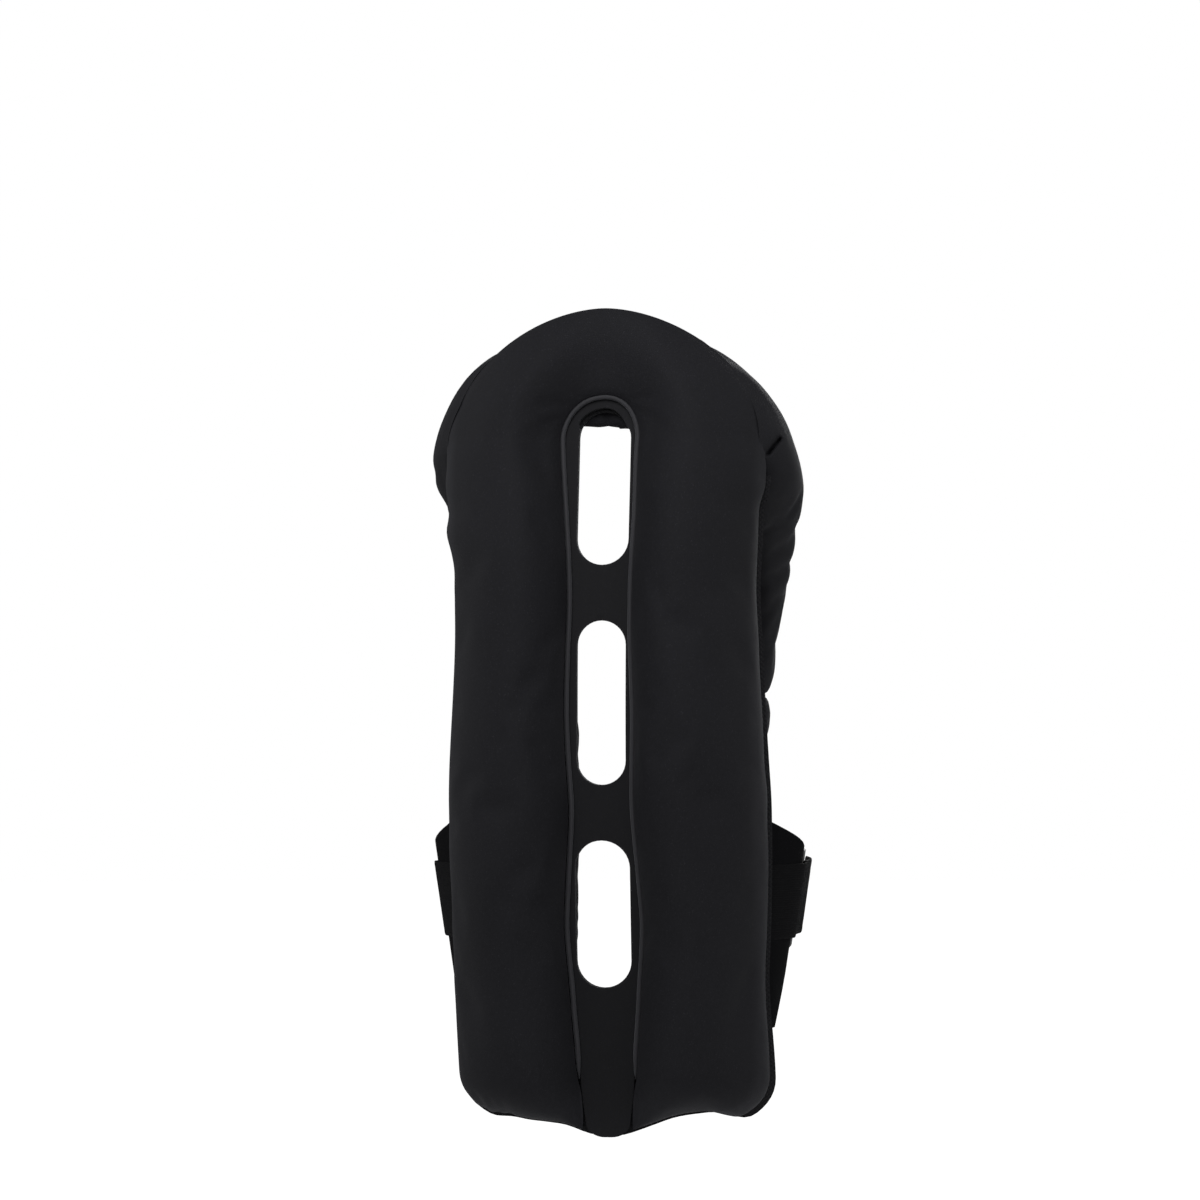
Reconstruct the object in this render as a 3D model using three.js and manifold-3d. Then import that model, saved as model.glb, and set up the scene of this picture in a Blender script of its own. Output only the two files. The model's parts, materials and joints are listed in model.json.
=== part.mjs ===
// Inflated airbag vest for riders, in the form that it takes when worn.
// Millimetres, +Z up. The wearer faces +Y, so the back of the vest faces -Y, and +X is the wearer's right.
// The origin is the middle of the neck opening, level with the top of the shoulders.
import * as THREE from 'three';
import { mergeVertices } from 'three/addons/utils/BufferGeometryUtils.js';
import Module from 'manifold-3d';

const wasm = await Module();
wasm.setup();

// Driving dimensions
const SEAT = 0.8; // room left between the lining and what lies on it
const TRIM = { room: 1, height: 60 }; // space kept free of the collar where the back lies on it
const COVER = 2.5; // cover cloth and bladder round the gas
const LINING = 2; // sheet on the wearer's side
const PANEL = 3; // flat strip between the lobes
const WEBBING = 2; // waist strap and side wings
const EDGE = 7; // sewn edge of the inflated back
const BORDER = 2.5; // lining left showing round the inflated back

// The wearer's back at the middle of the body, from the waist up to the nape
const BACK_LINE = [
  { z: -440, y: -70 },
  { z: -380, y: -78 },
  { z: -300, y: -90 },
  { z: -220, y: -99 },
  { z: -140, y: -101 },
  { z: -60, y: -95 },
  { z: 0, y: -84 },
  { z: 50, y: -75 },
  { z: 100, y: -68 },
];
const BACK_WRAP = { x: 100, forward: 26 }; // the back curves forward by this much at this half width

// The inflated back: half width of its outline and height of its lobes
const BACK = { bottom: -421, top: 103, topPower: 1.8, cornerRadius: 24, endRadius: 30 };
const BACK_OUTLINE = [
  { z: -421, half: 102, height: 42 },
  { z: -345, half: 103, height: 45 },
  { z: -283, half: 104, height: 47 },
  { z: -218, half: 103, height: 48 },
  { z: -153, half: 101.5, height: 48 },
  { z: -75, half: 101, height: 48 },
  { z: -30, half: 102.5, height: 48 },
  { z: 18, half: 104, height: 48 },
];
const LOBE = { edgePower: 3.6, roundPower: 2.3, shoulderWidth: 40 };

// The channel between the lobes: half width of the flat strip, which ends in an arch at the top
const CHANNEL = [
  { z: -437, half: 14 },
  { z: -406, half: 17.5 },
  { z: -380, half: 18.5 },
  { z: -348, half: 21.5 },
  { z: -302, half: 25 },
  { z: -270, half: 23 },
  { z: -218, half: 19 },
  { z: -153, half: 20.5 },
  { z: -62, half: 19.5 },
  { z: 18, half: 23.5 },
];
const ARCH = { z: 18, radius: 23.5 };
const TAIL = { bottom: -437, round: 10 };

// Slots through the strip and the lining
const SLOTS = [
  { top: 35, bottom: -65, half: 17 },
  { top: -101, bottom: -208, half: 16 },
  { top: -244, bottom: -341, half: 18 },
];

// The lower edge dips in the middle, where the strip's tail is, and the dip fades upwards
const DIP = { depth: 11, halfWidth: 28, fade: 90 };
const LINING_EDGE = { bottom: -424, top: 78 };

// The collar and chest pads, from the nape over the right shoulder to the waist: middle of the roll, the way
// that its face looks, and half its width and thickness
const ROLL = [
  { x: 0, y: -60, z: 59, outX: 0, outY: -0.96, outZ: 0.28, width: 34, thick: 9 },
  { x: 38, y: -61, z: 56, outX: 0.3, outY: -0.88, outZ: 0.36, width: 36, thick: 18 },
  { x: 70, y: -57, z: 41, outX: 0.66, outY: -0.48, outZ: 0.58, width: 36, thick: 25.5 },
  { x: 88, y: -35, z: 12, outX: 0.85, outY: -0.15, outZ: 0.5, width: 34, thick: 30.5 },
  { x: 88, y: 8, z: -18, outX: 0.74, outY: 0.28, outZ: 0.62, width: 33, thick: 29 },
  { x: 80, y: 52, z: -64, outX: 0.52, outY: 0.7, outZ: 0.5, width: 30, thick: 25 },
  { x: 71, y: 84, z: -116, outX: 0.36, outY: 0.89, outZ: 0.25, width: 26, thick: 21 },
  { x: 66, y: 98, z: -176, outX: 0.3, outY: 0.94, outZ: 0.08, width: 23, thick: 19 },
  { x: 65, y: 102, z: -240, outX: 0.28, outY: 0.95, outZ: -0.03, width: 22, thick: 18 },
  { x: 65, y: 101, z: -300, outX: 0.28, outY: 0.95, outZ: -0.06, width: 22, thick: 17.5 },
  { x: 65, y: 99, z: -336, outX: 0.28, outY: 0.95, outZ: -0.06, width: 22, thick: 17 },
];
const ROLL_SEAMS = { shoulder: 2.5, chest: 6.6, gap: 0.014 }; // rows of the table where one cushion ends
const ROLL_PITCH = 0.5; // rows of the table between two sections
const ROLL_POWER = 2.4; // 2 is an ellipse, more is squarer
const PAD_END = { rows: 0.62, steps: 3 }; // the chest pad's round end

// Gas passages from the back to the collar
const PASSAGE = { x: 60, z: 40, radius: 8, reach: 30 };

// The waist belt: an oval cone, with its slide buckles at the sides
const BELT = { halfWidth: 117, halfDepth: 88, middleY: -2, z: -286, lean: 0.15, height: 50 };
const BUCKLE = { angle: 0.03, bar: 3.2, slot: 7, rail: 5.5, slotHeight: 55, thick: 3, bevel: 0.7 };
const STRAP_TURN = 3.2; // radius of the middle of the webbing where it folds round a bar
const STRAP_TAIL = { near: 24, far: 46, lift: 10, farLift: 21 };
const WING = { root: 74, edge: 99, top: -233, bottom: -370, sewn: 11, lift: 1.75 };
const CLASP = { width: 104, height: 32, thick: 5, round: 6, bevel: 1.2, z: -233, room: 1.2 };
const STRAP_END = 52; // half way across the chest pads, where the webbing is sewn on

const SIDES = [
  { name: 'left', sign: -1 },
  { name: 'right', sign: 1 },
];

// Finishes
const FINISH = {
  cover: { color: 0x1c1c1e, roughness: 0.85, metalness: 0 },
  panel: { color: 0x1a1a1c, roughness: 0.88, metalness: 0 },
  lining: { color: 0x141416, roughness: 0.95, metalness: 0 },
  webbing: { color: 0x161618, roughness: 0.9, metalness: 0 },
  plastic: { color: 0x2a2a2c, roughness: 0.4, metalness: 0 },
};

// Smooth value of one column of a table at a place along its key column.
function column(rows, key, name, at) {
  const last = rows.length - 1;
  if (at <= rows[0][key]) return rows[0][name];
  if (at >= rows[last][key]) return rows[last][name];
  const next = rows.findIndex((row) => row[key] >= at);
  const slope = (n) => {
    const before = rows[Math.max(n - 1, 0)];
    const after = rows[Math.min(n + 1, last)];
    return (after[name] - before[name]) / (after[key] - before[key]);
  };
  const from = rows[next - 1];
  const span = rows[next][key] - from[key];
  const t = (at - from[key]) / span;
  const rise = rows[next][name] - from[name];
  const bend = slope(next - 1) * span * (1 - t) - slope(next) * span * t - rise * (1 - 2 * t);
  return from[name] + rise * t + t * (1 - t) * bend;
}

// Evenly spaced values from a to b.
function steps(a, b, count) {
  return Array.from({ length: count + 1 }, (_, i) => a + ((b - a) * i) / count);
}

// Closed geometry from vertices and triangles, turned so that its faces look out.
function closedGeometry(points, triangles) {
  const volume = triangles.reduce((sum, [a, b, c]) => {
    return sum + points[a].dot(new THREE.Vector3().crossVectors(points[b], points[c]));
  }, 0);
  const index = triangles.flatMap(([a, b, c]) => (volume > 0 ? [a, b, c] : [a, c, b]));
  const geometry = new THREE.BufferGeometry();
  geometry.setAttribute('position', new THREE.Float32BufferAttribute(points.flatMap((p) => p.toArray()), 3));
  geometry.setIndex(index);
  return geometry;
}

// Solid through a row of closed loops with equal numbers of points, with a fan at each end.
function loft(loops) {
  const sides = loops[0].length;
  const points = loops.flat();
  const triangles = [];
  for (let i = 0; i < loops.length - 1; i++) {
    for (let k = 0; k < sides; k++) {
      const a = i * sides + k;
      const b = i * sides + ((k + 1) % sides);
      triangles.push([a, b, b + sides], [a, b + sides, a + sides]);
    }
  }
  for (const [ring, turned] of [[0, true], [loops.length - 1, false]]) {
    const middle = points.length;
    points.push(loops[ring].reduce((sum, p) => sum.add(p), new THREE.Vector3()).divideScalar(sides));
    for (let k = 0; k < sides; k++) {
      const a = ring * sides + k;
      const b = ring * sides + ((k + 1) % sides);
      triangles.push(turned ? [b, a, middle] : [a, b, middle]);
    }
  }
  return closedGeometry(points, triangles);
}

// Solid between two grids of points with the same rows and columns.
function slab(front, back) {
  const rows = front.length;
  const columns = front[0].length;
  const points = [...front.flat(), ...back.flat()];
  const behind = rows * columns;
  const triangles = [];
  const quad = (a, b, c, d) => triangles.push([a, b, c], [a, c, d]);
  for (let i = 0; i < rows - 1; i++) {
    for (let k = 0; k < columns - 1; k++) {
      const a = i * columns + k;
      quad(a, a + 1, a + columns + 1, a + columns);
      quad(behind + a, behind + a + columns, behind + a + columns + 1, behind + a + 1);
    }
  }
  const rim = [];
  for (let k = 0; k < columns - 1; k++) rim.push(k);
  for (let i = 0; i < rows - 1; i++) rim.push(i * columns + columns - 1);
  for (let k = columns - 1; k > 0; k--) rim.push((rows - 1) * columns + k);
  for (let i = rows - 1; i > 0; i--) rim.push(i * columns);
  rim.forEach((a, n) => {
    const b = rim[(n + 1) % rim.length];
    quad(b, a, behind + a, behind + b);
  });
  return closedGeometry(points, triangles);
}

// Sheet of even thickness on a grid of points, built out to both sides along the grid's normals.
function sheet(grid, thickness) {
  const across = (line, k) => {
    return line[Math.min(k + 1, line.length - 1)].clone().sub(line[Math.max(k - 1, 0)]);
  };
  const normals = grid.map((line, i) =>
    line.map((_, k) => {
      const along = across(grid.map((other) => other[k]), i);
      return along.cross(across(line, k)).normalize();
    }),
  );
  const moved = (share) =>
    grid.map((line, i) => line.map((p, k) => p.clone().addScaledVector(normals[i][k], share * thickness)));
  return slab(moved(0.5), moved(-0.5));
}

// The geometry as a solid that can be cut and joined.
function solid(geometry) {
  const bare = geometry.clone();
  bare.deleteAttribute('normal');
  bare.deleteAttribute('uv');
  const merged = mergeVertices(bare, 1e-4);
  return new wasm.Manifold(
    new wasm.Mesh({
      numProp: 3,
      vertProperties: new Float32Array(merged.attributes.position.array),
      triVerts: new Uint32Array(merged.index.array),
    }),
  );
}

// A cut or joined solid as geometry for a mesh.
function geometryOf(made) {
  const mesh = made.getMesh();
  const geometry = new THREE.BufferGeometry();
  geometry.setAttribute('position', new THREE.Float32BufferAttribute(mesh.vertProperties, mesh.numProp));
  geometry.setIndex(Array.from(mesh.triVerts));
  return geometry;
}

function mirrored(geometry) {
  const index = geometry.index.array;
  const copy = geometry.clone();
  copy.scale(-1, 1, 1);
  copy.setIndex(Array.from(index, (_, i) => index[i - (i % 3) + [0, 2, 1][i % 3]]));
  return copy;
}

// The wearer's side of the lining, at a place across and up the back.
function backSurface(x, z) {
  return column(BACK_LINE, 'z', 'y', z) + BACK_WRAP.forward * (x / BACK_WRAP.x) ** 2;
}

// How far the lower edge hangs below its straight line, at a place across and up the back.
function dip(x, z) {
  const fade = Math.exp(-(((z - BACK.bottom) / DIP.fade) ** 2));
  return DIP.depth * fade * Math.exp(-((x / DIP.halfWidth) ** 2));
}

// Quarter-round that goes from 0 at a form's end to 1 at its full size.
function roundEnd(distance, radius) {
  const t = THREE.MathUtils.clamp(1 - distance / radius, 0, 1);
  return Math.sqrt(1 - t * t);
}

// Half width of the inflated back below its dome: square at the bottom with round corners.
function backHalf(z) {
  const corner = BACK.cornerRadius * (1 - roundEnd(z - BACK.bottom, BACK.cornerRadius));
  return column(BACK_OUTLINE, 'z', 'half', z) - corner;
}

// Half width of the channel, which closes in an arch and is nothing above it.
function channelHalf(z, grow) {
  if (z <= ARCH.z) return column(CHANNEL, 'z', 'half', z) + grow;
  const radius = ARCH.radius + grow;
  return Math.sqrt(Math.max(radius * radius - (z - ARCH.z) ** 2, 0));
}

// Height of the inflated back above the lining. It falls to the sewn edge at the outline and at the channel.
function lobeHeight(x, z) {
  const rise = Math.max(z - ARCH.z, 0);
  const across = (x / Math.max(backHalf(z), 1)) ** BACK.topPower;
  const dome = (across + (rise / (BACK.top - ARCH.z)) ** BACK.topPower) ** (1 / BACK.topPower);
  const edge = (1 - Math.min(dome, 1) ** LOBE.edgePower) ** (1 / LOBE.roundPower);
  const clear = rise > 0 ? Math.hypot(x, rise) - ARCH.radius : x - channelHalf(z, 0);
  const side = roundEnd(clear, LOBE.shoulderWidth) * roundEnd(z - BACK.bottom, BACK.endRadius);
  return EDGE + (column(BACK_OUTLINE, 'z', 'height', z) - EDGE) * edge * side;
}

// Levels shared by the sheets and cushions of the back, so that their facets lie on each other.
const LEVELS = steps(BACK.bottom + 56, ARCH.z, 11);

// Rows across the inflated back, up the right lobe, round the arch and down the left one. Each row goes from
// the channel to the outline. A negative grow makes the gas space inside.
function backRows(grow) {
  const ends = steps(0, 0.4, 4).map((t) => BACK.bottom - grow + BACK.endRadius * (1 - Math.cos(Math.PI * t)));
  const lobe = [...ends, ...LEVELS].map((z) => ({
    inner: new THREE.Vector2(channelHalf(z, -grow), z),
    outer: new THREE.Vector2(backHalf(Math.max(z + grow, BACK.bottom)) + grow, z),
  }));
  const dome = new THREE.Vector2(backHalf(ARCH.z) + grow, BACK.top - ARCH.z + grow);
  const arch = steps(0, Math.PI, 14).slice(1, -1).map((angle) => {
    const c = Math.cos(angle);
    const s = Math.sin(angle);
    const bend = (v) => Math.sign(v) * Math.abs(v) ** (2 / BACK.topPower);
    return {
      inner: new THREE.Vector2(c, s).multiplyScalar(ARCH.radius - grow),
      outer: new THREE.Vector2(bend(c), bend(s)).multiply(dome),
    };
  });
  const middle = new THREE.Vector2(0, ARCH.z);
  arch.forEach(({ inner, outer }) => [inner, outer].forEach((p) => p.add(middle)));
  const flip = (p) => new THREE.Vector2(-p.x, p.y);
  const left = lobe.map(({ inner, outer }) => ({ inner: flip(inner), outer: flip(outer) })).reverse();
  return [...lobe, ...arch, ...left];
}

// The inflated back as a solid, with another height where one is given.
function backSolid(grow, columns, height = lobeHeight) {
  const front = [];
  const back = [];
  for (const { inner, outer } of backRows(grow)) {
    const across = steps(0, Math.PI, columns).map((t) => inner.clone().lerp(outer, 0.5 - 0.5 * Math.cos(t)));
    const placed = (p, out) => {
      const z = p.y - dip(p.x, p.y);
      return new THREE.Vector3(p.x, backSurface(p.x, z) - LINING - SEAT - out, z);
    };
    back.push(across.map((p) => placed(p, -grow)));
    front.push(across.map((p) => placed(p, height(Math.abs(p.x), p.y) + grow)));
  }
  return solid(slab(front, back));
}

// Round bar along Y, used to cut the gas passages.
function passages() {
  const bars = SIDES.map(({ sign }) => {
    const bar = new THREE.CylinderGeometry(PASSAGE.radius, PASSAGE.radius, PASSAGE.reach, 12);
    bar.translate(sign * PASSAGE.x, backSurface(PASSAGE.x, PASSAGE.z), PASSAGE.z);
    return solid(bar);
  });
  return bars[0].add(bars[1]);
}

// Prisms through the strip and the lining, one for each slot.
function slotCutters() {
  const depth = 120;
  return SLOTS.map(({ top, bottom, half }) => {
    const outline = new THREE.Shape();
    outline.absarc(0, top - half, half, 0, Math.PI);
    outline.absarc(0, bottom + half, half, Math.PI, 2 * Math.PI);
    const prism = new THREE.ExtrudeGeometry(outline, { depth, bevelEnabled: false, curveSegments: 6 });
    prism.rotateX(Math.PI / 2);
    return solid(prism.translate(0, -depth / 4, 0));
  });
}

function cutSlots(geometry) {
  return slotCutters().reduce((left, cutter) => left.subtract(cutter), solid(geometry));
}

// The flat strip between the lobes, from the arch down to its round tail.
function spinePanelGeometry() {
  const heights = [
    ...steps(0, 0.5, 3).map((t) => TAIL.bottom + TAIL.round * (1 - Math.cos(Math.PI * t))),
    BACK.bottom + BACK.endRadius,
    ...LEVELS,
    ...steps(0.1, 0.48, 5).map((t) => ARCH.z + (ARCH.radius - SEAT) * Math.sin(Math.PI * t)),
  ];
  const grids = [PANEL, 0].map((out) =>
    heights.map((z) => {
      const half = channelHalf(z, -SEAT) * (0.4 + 0.6 * roundEnd(z - TAIL.bottom, TAIL.round));
      const across = steps(-half, half, 4);
      return across.map((x) => new THREE.Vector3(x, backSurface(x, z) - LINING - SEAT - out, z));
    }),
  );
  return slab(grids[0], grids[1]);
}

// The sheet on the wearer's side. Its lower edge dips in the middle to back the tail.
function liningGeometry(grow) {
  const top = LINING_EDGE.top + grow;
  const heights = [
    ...steps(0, 0.5, 4).map((t) => LINING_EDGE.bottom + BACK.cornerRadius * (1 - Math.cos(Math.PI * t))),
    ...LEVELS,
    ...steps(0.2, 1, 4).map((t) => ARCH.z + (top - ARCH.z) * Math.sin((Math.PI / 2) * t)),
  ];
  const shift = LINING_EDGE.bottom - BACK.bottom;
  const grids = [LINING + grow, -grow].map((out) =>
    heights.map((z) => {
      const rise = Math.max(z - ARCH.z, 0) / (BACK.top - ARCH.z);
      const narrow = (1 - rise ** BACK.topPower) ** (1 / BACK.topPower);
      const half = backHalf(z - shift) * narrow + BORDER * (rise > 0 ? -2 : 1) + grow;
      return steps(-half, half, 8).map((x) => {
        const down = z - dip(x, z);
        return new THREE.Vector3(x, backSurface(x, down) - out, down);
      });
    }),
  );
  return slab(grids[0], grids[1]);
}

// One section of the collar and chest pads, at a row of the table. Rows below zero are the left side.
function rollLoop(row, grow) {
  const sign = row < 0 ? -1 : 1;
  const rows = ROLL.map((entry, n) => ({ ...entry, n }));
  const value = (name, at) => column(rows, 'n', name, Math.abs(at));
  const middle = (at) => {
    return new THREE.Vector3((at < 0 ? -1 : 1) * value('x', at), value('y', at), value('z', at));
  };
  const nudge = 0.05;
  const along = middle(row + nudge).sub(middle(row - nudge)).normalize();
  const out = new THREE.Vector3(sign * value('outX', row), value('outY', row), value('outZ', row));
  out.addScaledVector(along, -out.dot(along)).normalize();
  const across = new THREE.Vector3().crossVectors(along, out);
  const end = roundEnd(ROLL.length - 1 - Math.abs(row), PAD_END.rows);
  const width = value('width', row) * (0.45 + 0.55 * end) + grow;
  const thick = value('thick', row) * (0.3 + 0.7 * end) + grow;
  const power = 2 / ROLL_POWER;
  return steps(0, 2 * Math.PI, 14).slice(0, -1).map((angle) => {
    const c = Math.cos(angle);
    const s = Math.sin(angle);
    return middle(row)
      .addScaledVector(across, Math.sign(c) * Math.abs(c) ** power * width)
      .addScaledVector(out, Math.sign(s) * Math.abs(s) ** power * thick);
  });
}

// Hollow roll between two rows of the table.
// Its gas space is open at the start, and at the end if it says so.
function rollSolid(from, to, openEnd) {
  const count = Math.round(Math.abs(to - from) / ROLL_PITCH);
  const reach = 0.04;
  const last = ROLL.length - 1;
  const taper = steps(0, 0.45, PAD_END.steps).map((t) => last - PAD_END.rows * (1 - Math.sin(Math.PI * t)));
  const rowsFor = (start, end, closed) => {
    const whole = steps(start, closed ? last - PAD_END.rows : end, count);
    return closed ? [...whole.slice(0, -1), ...taper] : whole;
  };
  const outer = solid(loft(rowsFor(from, to, !openEnd).map((row) => rollLoop(row, 0))));
  const gasRows = rowsFor(from - reach, to + (openEnd ? reach : 0), !openEnd);
  const gas = openEnd ? gasRows : gasRows.slice(0, -1);
  return outer.subtract(solid(loft(gas.map((row) => rollLoop(row, -COVER)))));
}

// Point on the belt: an angle round the body from its side, a distance out of the belt, and a height.
function beltPoint(angle, out, z) {
  const c = Math.cos(angle);
  const s = Math.sin(angle);
  const normal = new THREE.Vector2(c / BELT.halfWidth, s / BELT.halfDepth).normalize();
  const lean = out + BELT.lean * (z - BELT.z);
  return new THREE.Vector3(
    BELT.halfWidth * c + normal.x * lean,
    BELT.middleY + BELT.halfDepth * s + normal.y * lean,
    z,
  );
}

// The buckle's own frame: along the belt, up the buckle, and out of the body.
function buckleFrame() {
  const origin = beltPoint(BUCKLE.angle, 0, BELT.z);
  const up = beltPoint(BUCKLE.angle, 0, BELT.z + 1).sub(origin).normalize();
  const ahead = beltPoint(BUCKLE.angle + 0.01, 0, BELT.z).sub(origin).normalize();
  const out = new THREE.Vector3().crossVectors(ahead, up).normalize();
  return new THREE.Matrix4().makeBasis(ahead, up, out).setPosition(origin);
}

function bucklePoint(along, out, height) {
  return new THREE.Vector3(along, height, out).applyMatrix4(buckleFrame());
}

// Half a turn of webbing round a bar, from its outer side to its inner side.
function foldPoints(bar, side, height) {
  return steps(0, Math.PI, 6).map((angle) => {
    return bucklePoint(bar + side * STRAP_TURN * Math.sin(angle), STRAP_TURN * Math.cos(angle), height);
  });
}

// Sheet whose edges run through rows of points, with a few stations between each two.
function webbing(linesAcross, between) {
  const lines = linesAcross.map((points) => {
    const curve = new THREE.CatmullRomCurve3(points, false, 'centripetal');
    return curve.getPoints((points.length - 1) * between);
  });
  const grid = lines[0].map((_, i) => lines.map((line) => line[i]));
  return sheet(grid, WEBBING);
}

const BAR_PITCH = BUCKLE.bar + BUCKLE.slot;

// Tapered tab from the lining to the buckle's rear bar, folded round it.
function wingGeometry() {
  const lines = steps(0, 1, 3).map((share) => {
    const low = WING.bottom + (WING.top - WING.bottom) * share;
    const height = BELT.height * (share - 0.5);
    const onLining = (x) => new THREE.Vector3(x, backSurface(x, low) + WING.lift + WEBBING / 2, low);
    return [
      onLining(WING.root),
      onLining((WING.root + WING.edge) / 2),
      onLining(WING.edge),
      bucklePoint(-BAR_PITCH - 14, STRAP_TURN, height),
      bucklePoint(-BAR_PITCH - 6, STRAP_TURN, height),
      ...foldPoints(-BAR_PITCH, 1, height),
      bucklePoint(-BAR_PITCH - WING.sewn, -STRAP_TURN, height),
    ];
  });
  return webbing(lines, 2);
}

// Waist webbing from its free tail round the buckle's front bar to the back of the chest pad.
function strapGeometry() {
  const end = Math.acos(STRAP_END / BELT.halfWidth);
  const angleAt = (along) => BUCKLE.angle + along / BELT.halfDepth;
  const lines = steps(0, 1, 1).map((share) => {
    const height = BELT.height * (share - 0.5);
    const z = BELT.z + height;
    const start = angleAt(STRAP_TAIL.near);
    return [
      beltPoint(angleAt(STRAP_TAIL.far), STRAP_TAIL.farLift, z),
      beltPoint(angleAt(STRAP_TAIL.near), STRAP_TAIL.lift, z),
      bucklePoint(BAR_PITCH + 4, STRAP_TURN, height),
      ...foldPoints(BAR_PITCH, -1, height),
      bucklePoint(BAR_PITCH + 4, -STRAP_TURN, height),
      ...steps(start, end, 8).map((angle) => beltPoint(angle, 0, z)),
    ];
  });
  return webbing(lines, 2);
}

// Rounded rectangle round the origin.
function roundedRectangle(width, height, radius) {
  const x = width / 2 - radius;
  const y = height / 2 - radius;
  const outline = new THREE.Shape();
  outline.absarc(x, y, radius, 0, Math.PI / 2);
  outline.absarc(-x, y, radius, Math.PI / 2, Math.PI);
  outline.absarc(-x, -y, radius, Math.PI, 1.5 * Math.PI);
  outline.absarc(x, -y, radius, 1.5 * Math.PI, 2 * Math.PI);
  return outline;
}

// Three-bar slide buckle with two slots for webbing.
function buckleGeometry() {
  const { bar, slot, rail, slotHeight, thick, bevel } = BUCKLE;
  const outline = roundedRectangle(2 * BAR_PITCH + bar - 2 * bevel, slotHeight + 2 * rail - 2 * bevel, 3);
  for (const side of [-1, 1]) {
    const hole = roundedRectangle(slot + 2 * bevel, slotHeight + 2 * bevel, 1.5).getPoints(2);
    const middle = (side * BAR_PITCH) / 2;
    outline.holes.push(new THREE.Path(hole.map((p) => p.setX(p.x + middle)).reverse()));
  }
  const plate = new THREE.ExtrudeGeometry(outline, {
    depth: thick - 2 * bevel,
    bevelThickness: bevel,
    bevelSize: bevel,
    bevelSegments: 1,
    curveSegments: 2,
  });
  return plate.translate(0, 0, -thick / 2 + bevel);
}

// Plain plate behind the chest pads that joins them at the front.
function claspGeometry() {
  const { width, height, thick, round, bevel } = CLASP;
  const plate = new THREE.ExtrudeGeometry(roundedRectangle(width - 2 * bevel, height - 2 * bevel, round), {
    depth: thick - 2 * bevel,
    bevelThickness: bevel,
    bevelSize: bevel,
    bevelSegments: 1,
    curveSegments: 4,
  });
  return plate.translate(0, 0, -thick / 2 + bevel);
}

function piece(name, geometry, finish) {
  const mesh = new THREE.Mesh(geometry, new THREE.MeshStandardMaterial({ name: finish, ...FINISH[finish] }));
  mesh.name = name;
  return mesh;
}

const vest = new THREE.Group();
vest.name = 'airbag_vest';

// Inflated back, its strip and its lining
const gasPassages = passages();
const backCushion = backSolid(0, 9).subtract(backSolid(-COVER, 6)).subtract(gasPassages);
vest.add(piece('back_cushion', geometryOf(backCushion), 'cover'));
vest.add(piece('spine_panel', geometryOf(cutSlots(spinePanelGeometry())), 'panel'));
vest.add(piece('back_lining', geometryOf(cutSlots(liningGeometry(0)).subtract(gasPassages)), 'lining'));

// Collar and shoulders, trimmed where the back lies on them, and the chest pads that go on from them
const backSpace = backSolid(TRIM.room, 9, () => TRIM.height);
const backRoom = backSpace.add(solid(liningGeometry(SEAT))).add(gasPassages);
const trimmed = (roll) => {
  const parts = roll.subtract(backRoom).decompose();
  return geometryOf(parts.reduce((best, part) => (part.volume() > best.volume() ? part : best)));
};
const { shoulder: shoulderSeam, chest: chestSeam, gap: seamGap } = ROLL_SEAMS;
vest.add(piece('collar_cushion', trimmed(rollSolid(-shoulderSeam, shoulderSeam, true)), 'cover'));
const shoulder = trimmed(rollSolid(shoulderSeam + seamGap, chestSeam, true));
const pad = geometryOf(rollSolid(chestSeam + seamGap, ROLL.length - 1, false));
const wing = wingGeometry();
const strap = strapGeometry();

for (const { name, sign } of SIDES) {
  const onSide = (geometry) => (sign > 0 ? geometry : mirrored(geometry));
  vest.add(piece(`shoulder_cushion_${name}`, onSide(shoulder), 'cover'));
  vest.add(piece(`front_cushion_${name}`, onSide(pad), 'cover'));
  vest.add(piece(`side_wing_${name}`, onSide(wing), 'webbing'));
  vest.add(piece(`waist_strap_${name}`, onSide(strap), 'webbing'));
  const buckle = piece(`side_buckle_${name}`, buckleGeometry(), 'plastic');
  buckle.applyMatrix4(buckleFrame());
  const frame = new THREE.Group();
  frame.scale.x = sign;
  frame.add(buckle);
  vest.add(frame);
}

const clasp = piece('front_clasp', claspGeometry(), 'plastic');
const padRow = ROLL.findIndex((row) => row.z < CLASP.z) - 1;
const padBack = ROLL[padRow].y - ROLL[padRow].thick;
clasp.position.set(0, padBack - CLASP.room - CLASP.thick / 2, CLASP.z);
clasp.rotation.x = Math.PI / 2;
vest.add(clasp);

export default vest;
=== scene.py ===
"""Looks of an inflated airbag vest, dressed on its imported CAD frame.

Metres, +Z up. The inflated back faces -Y and the chest pads face +Y. Sizes are in millimetres, as on a
drawing, and MM turns them into metres when a mesh is made.
"""

import json
import logging
import math
from contextlib import contextmanager
from dataclasses import dataclass, field
from enum import Enum
from typing import Callable, Iterator, Sequence

import bmesh
import bpy
import numpy as np
from mathutils import Matrix, Vector

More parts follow.
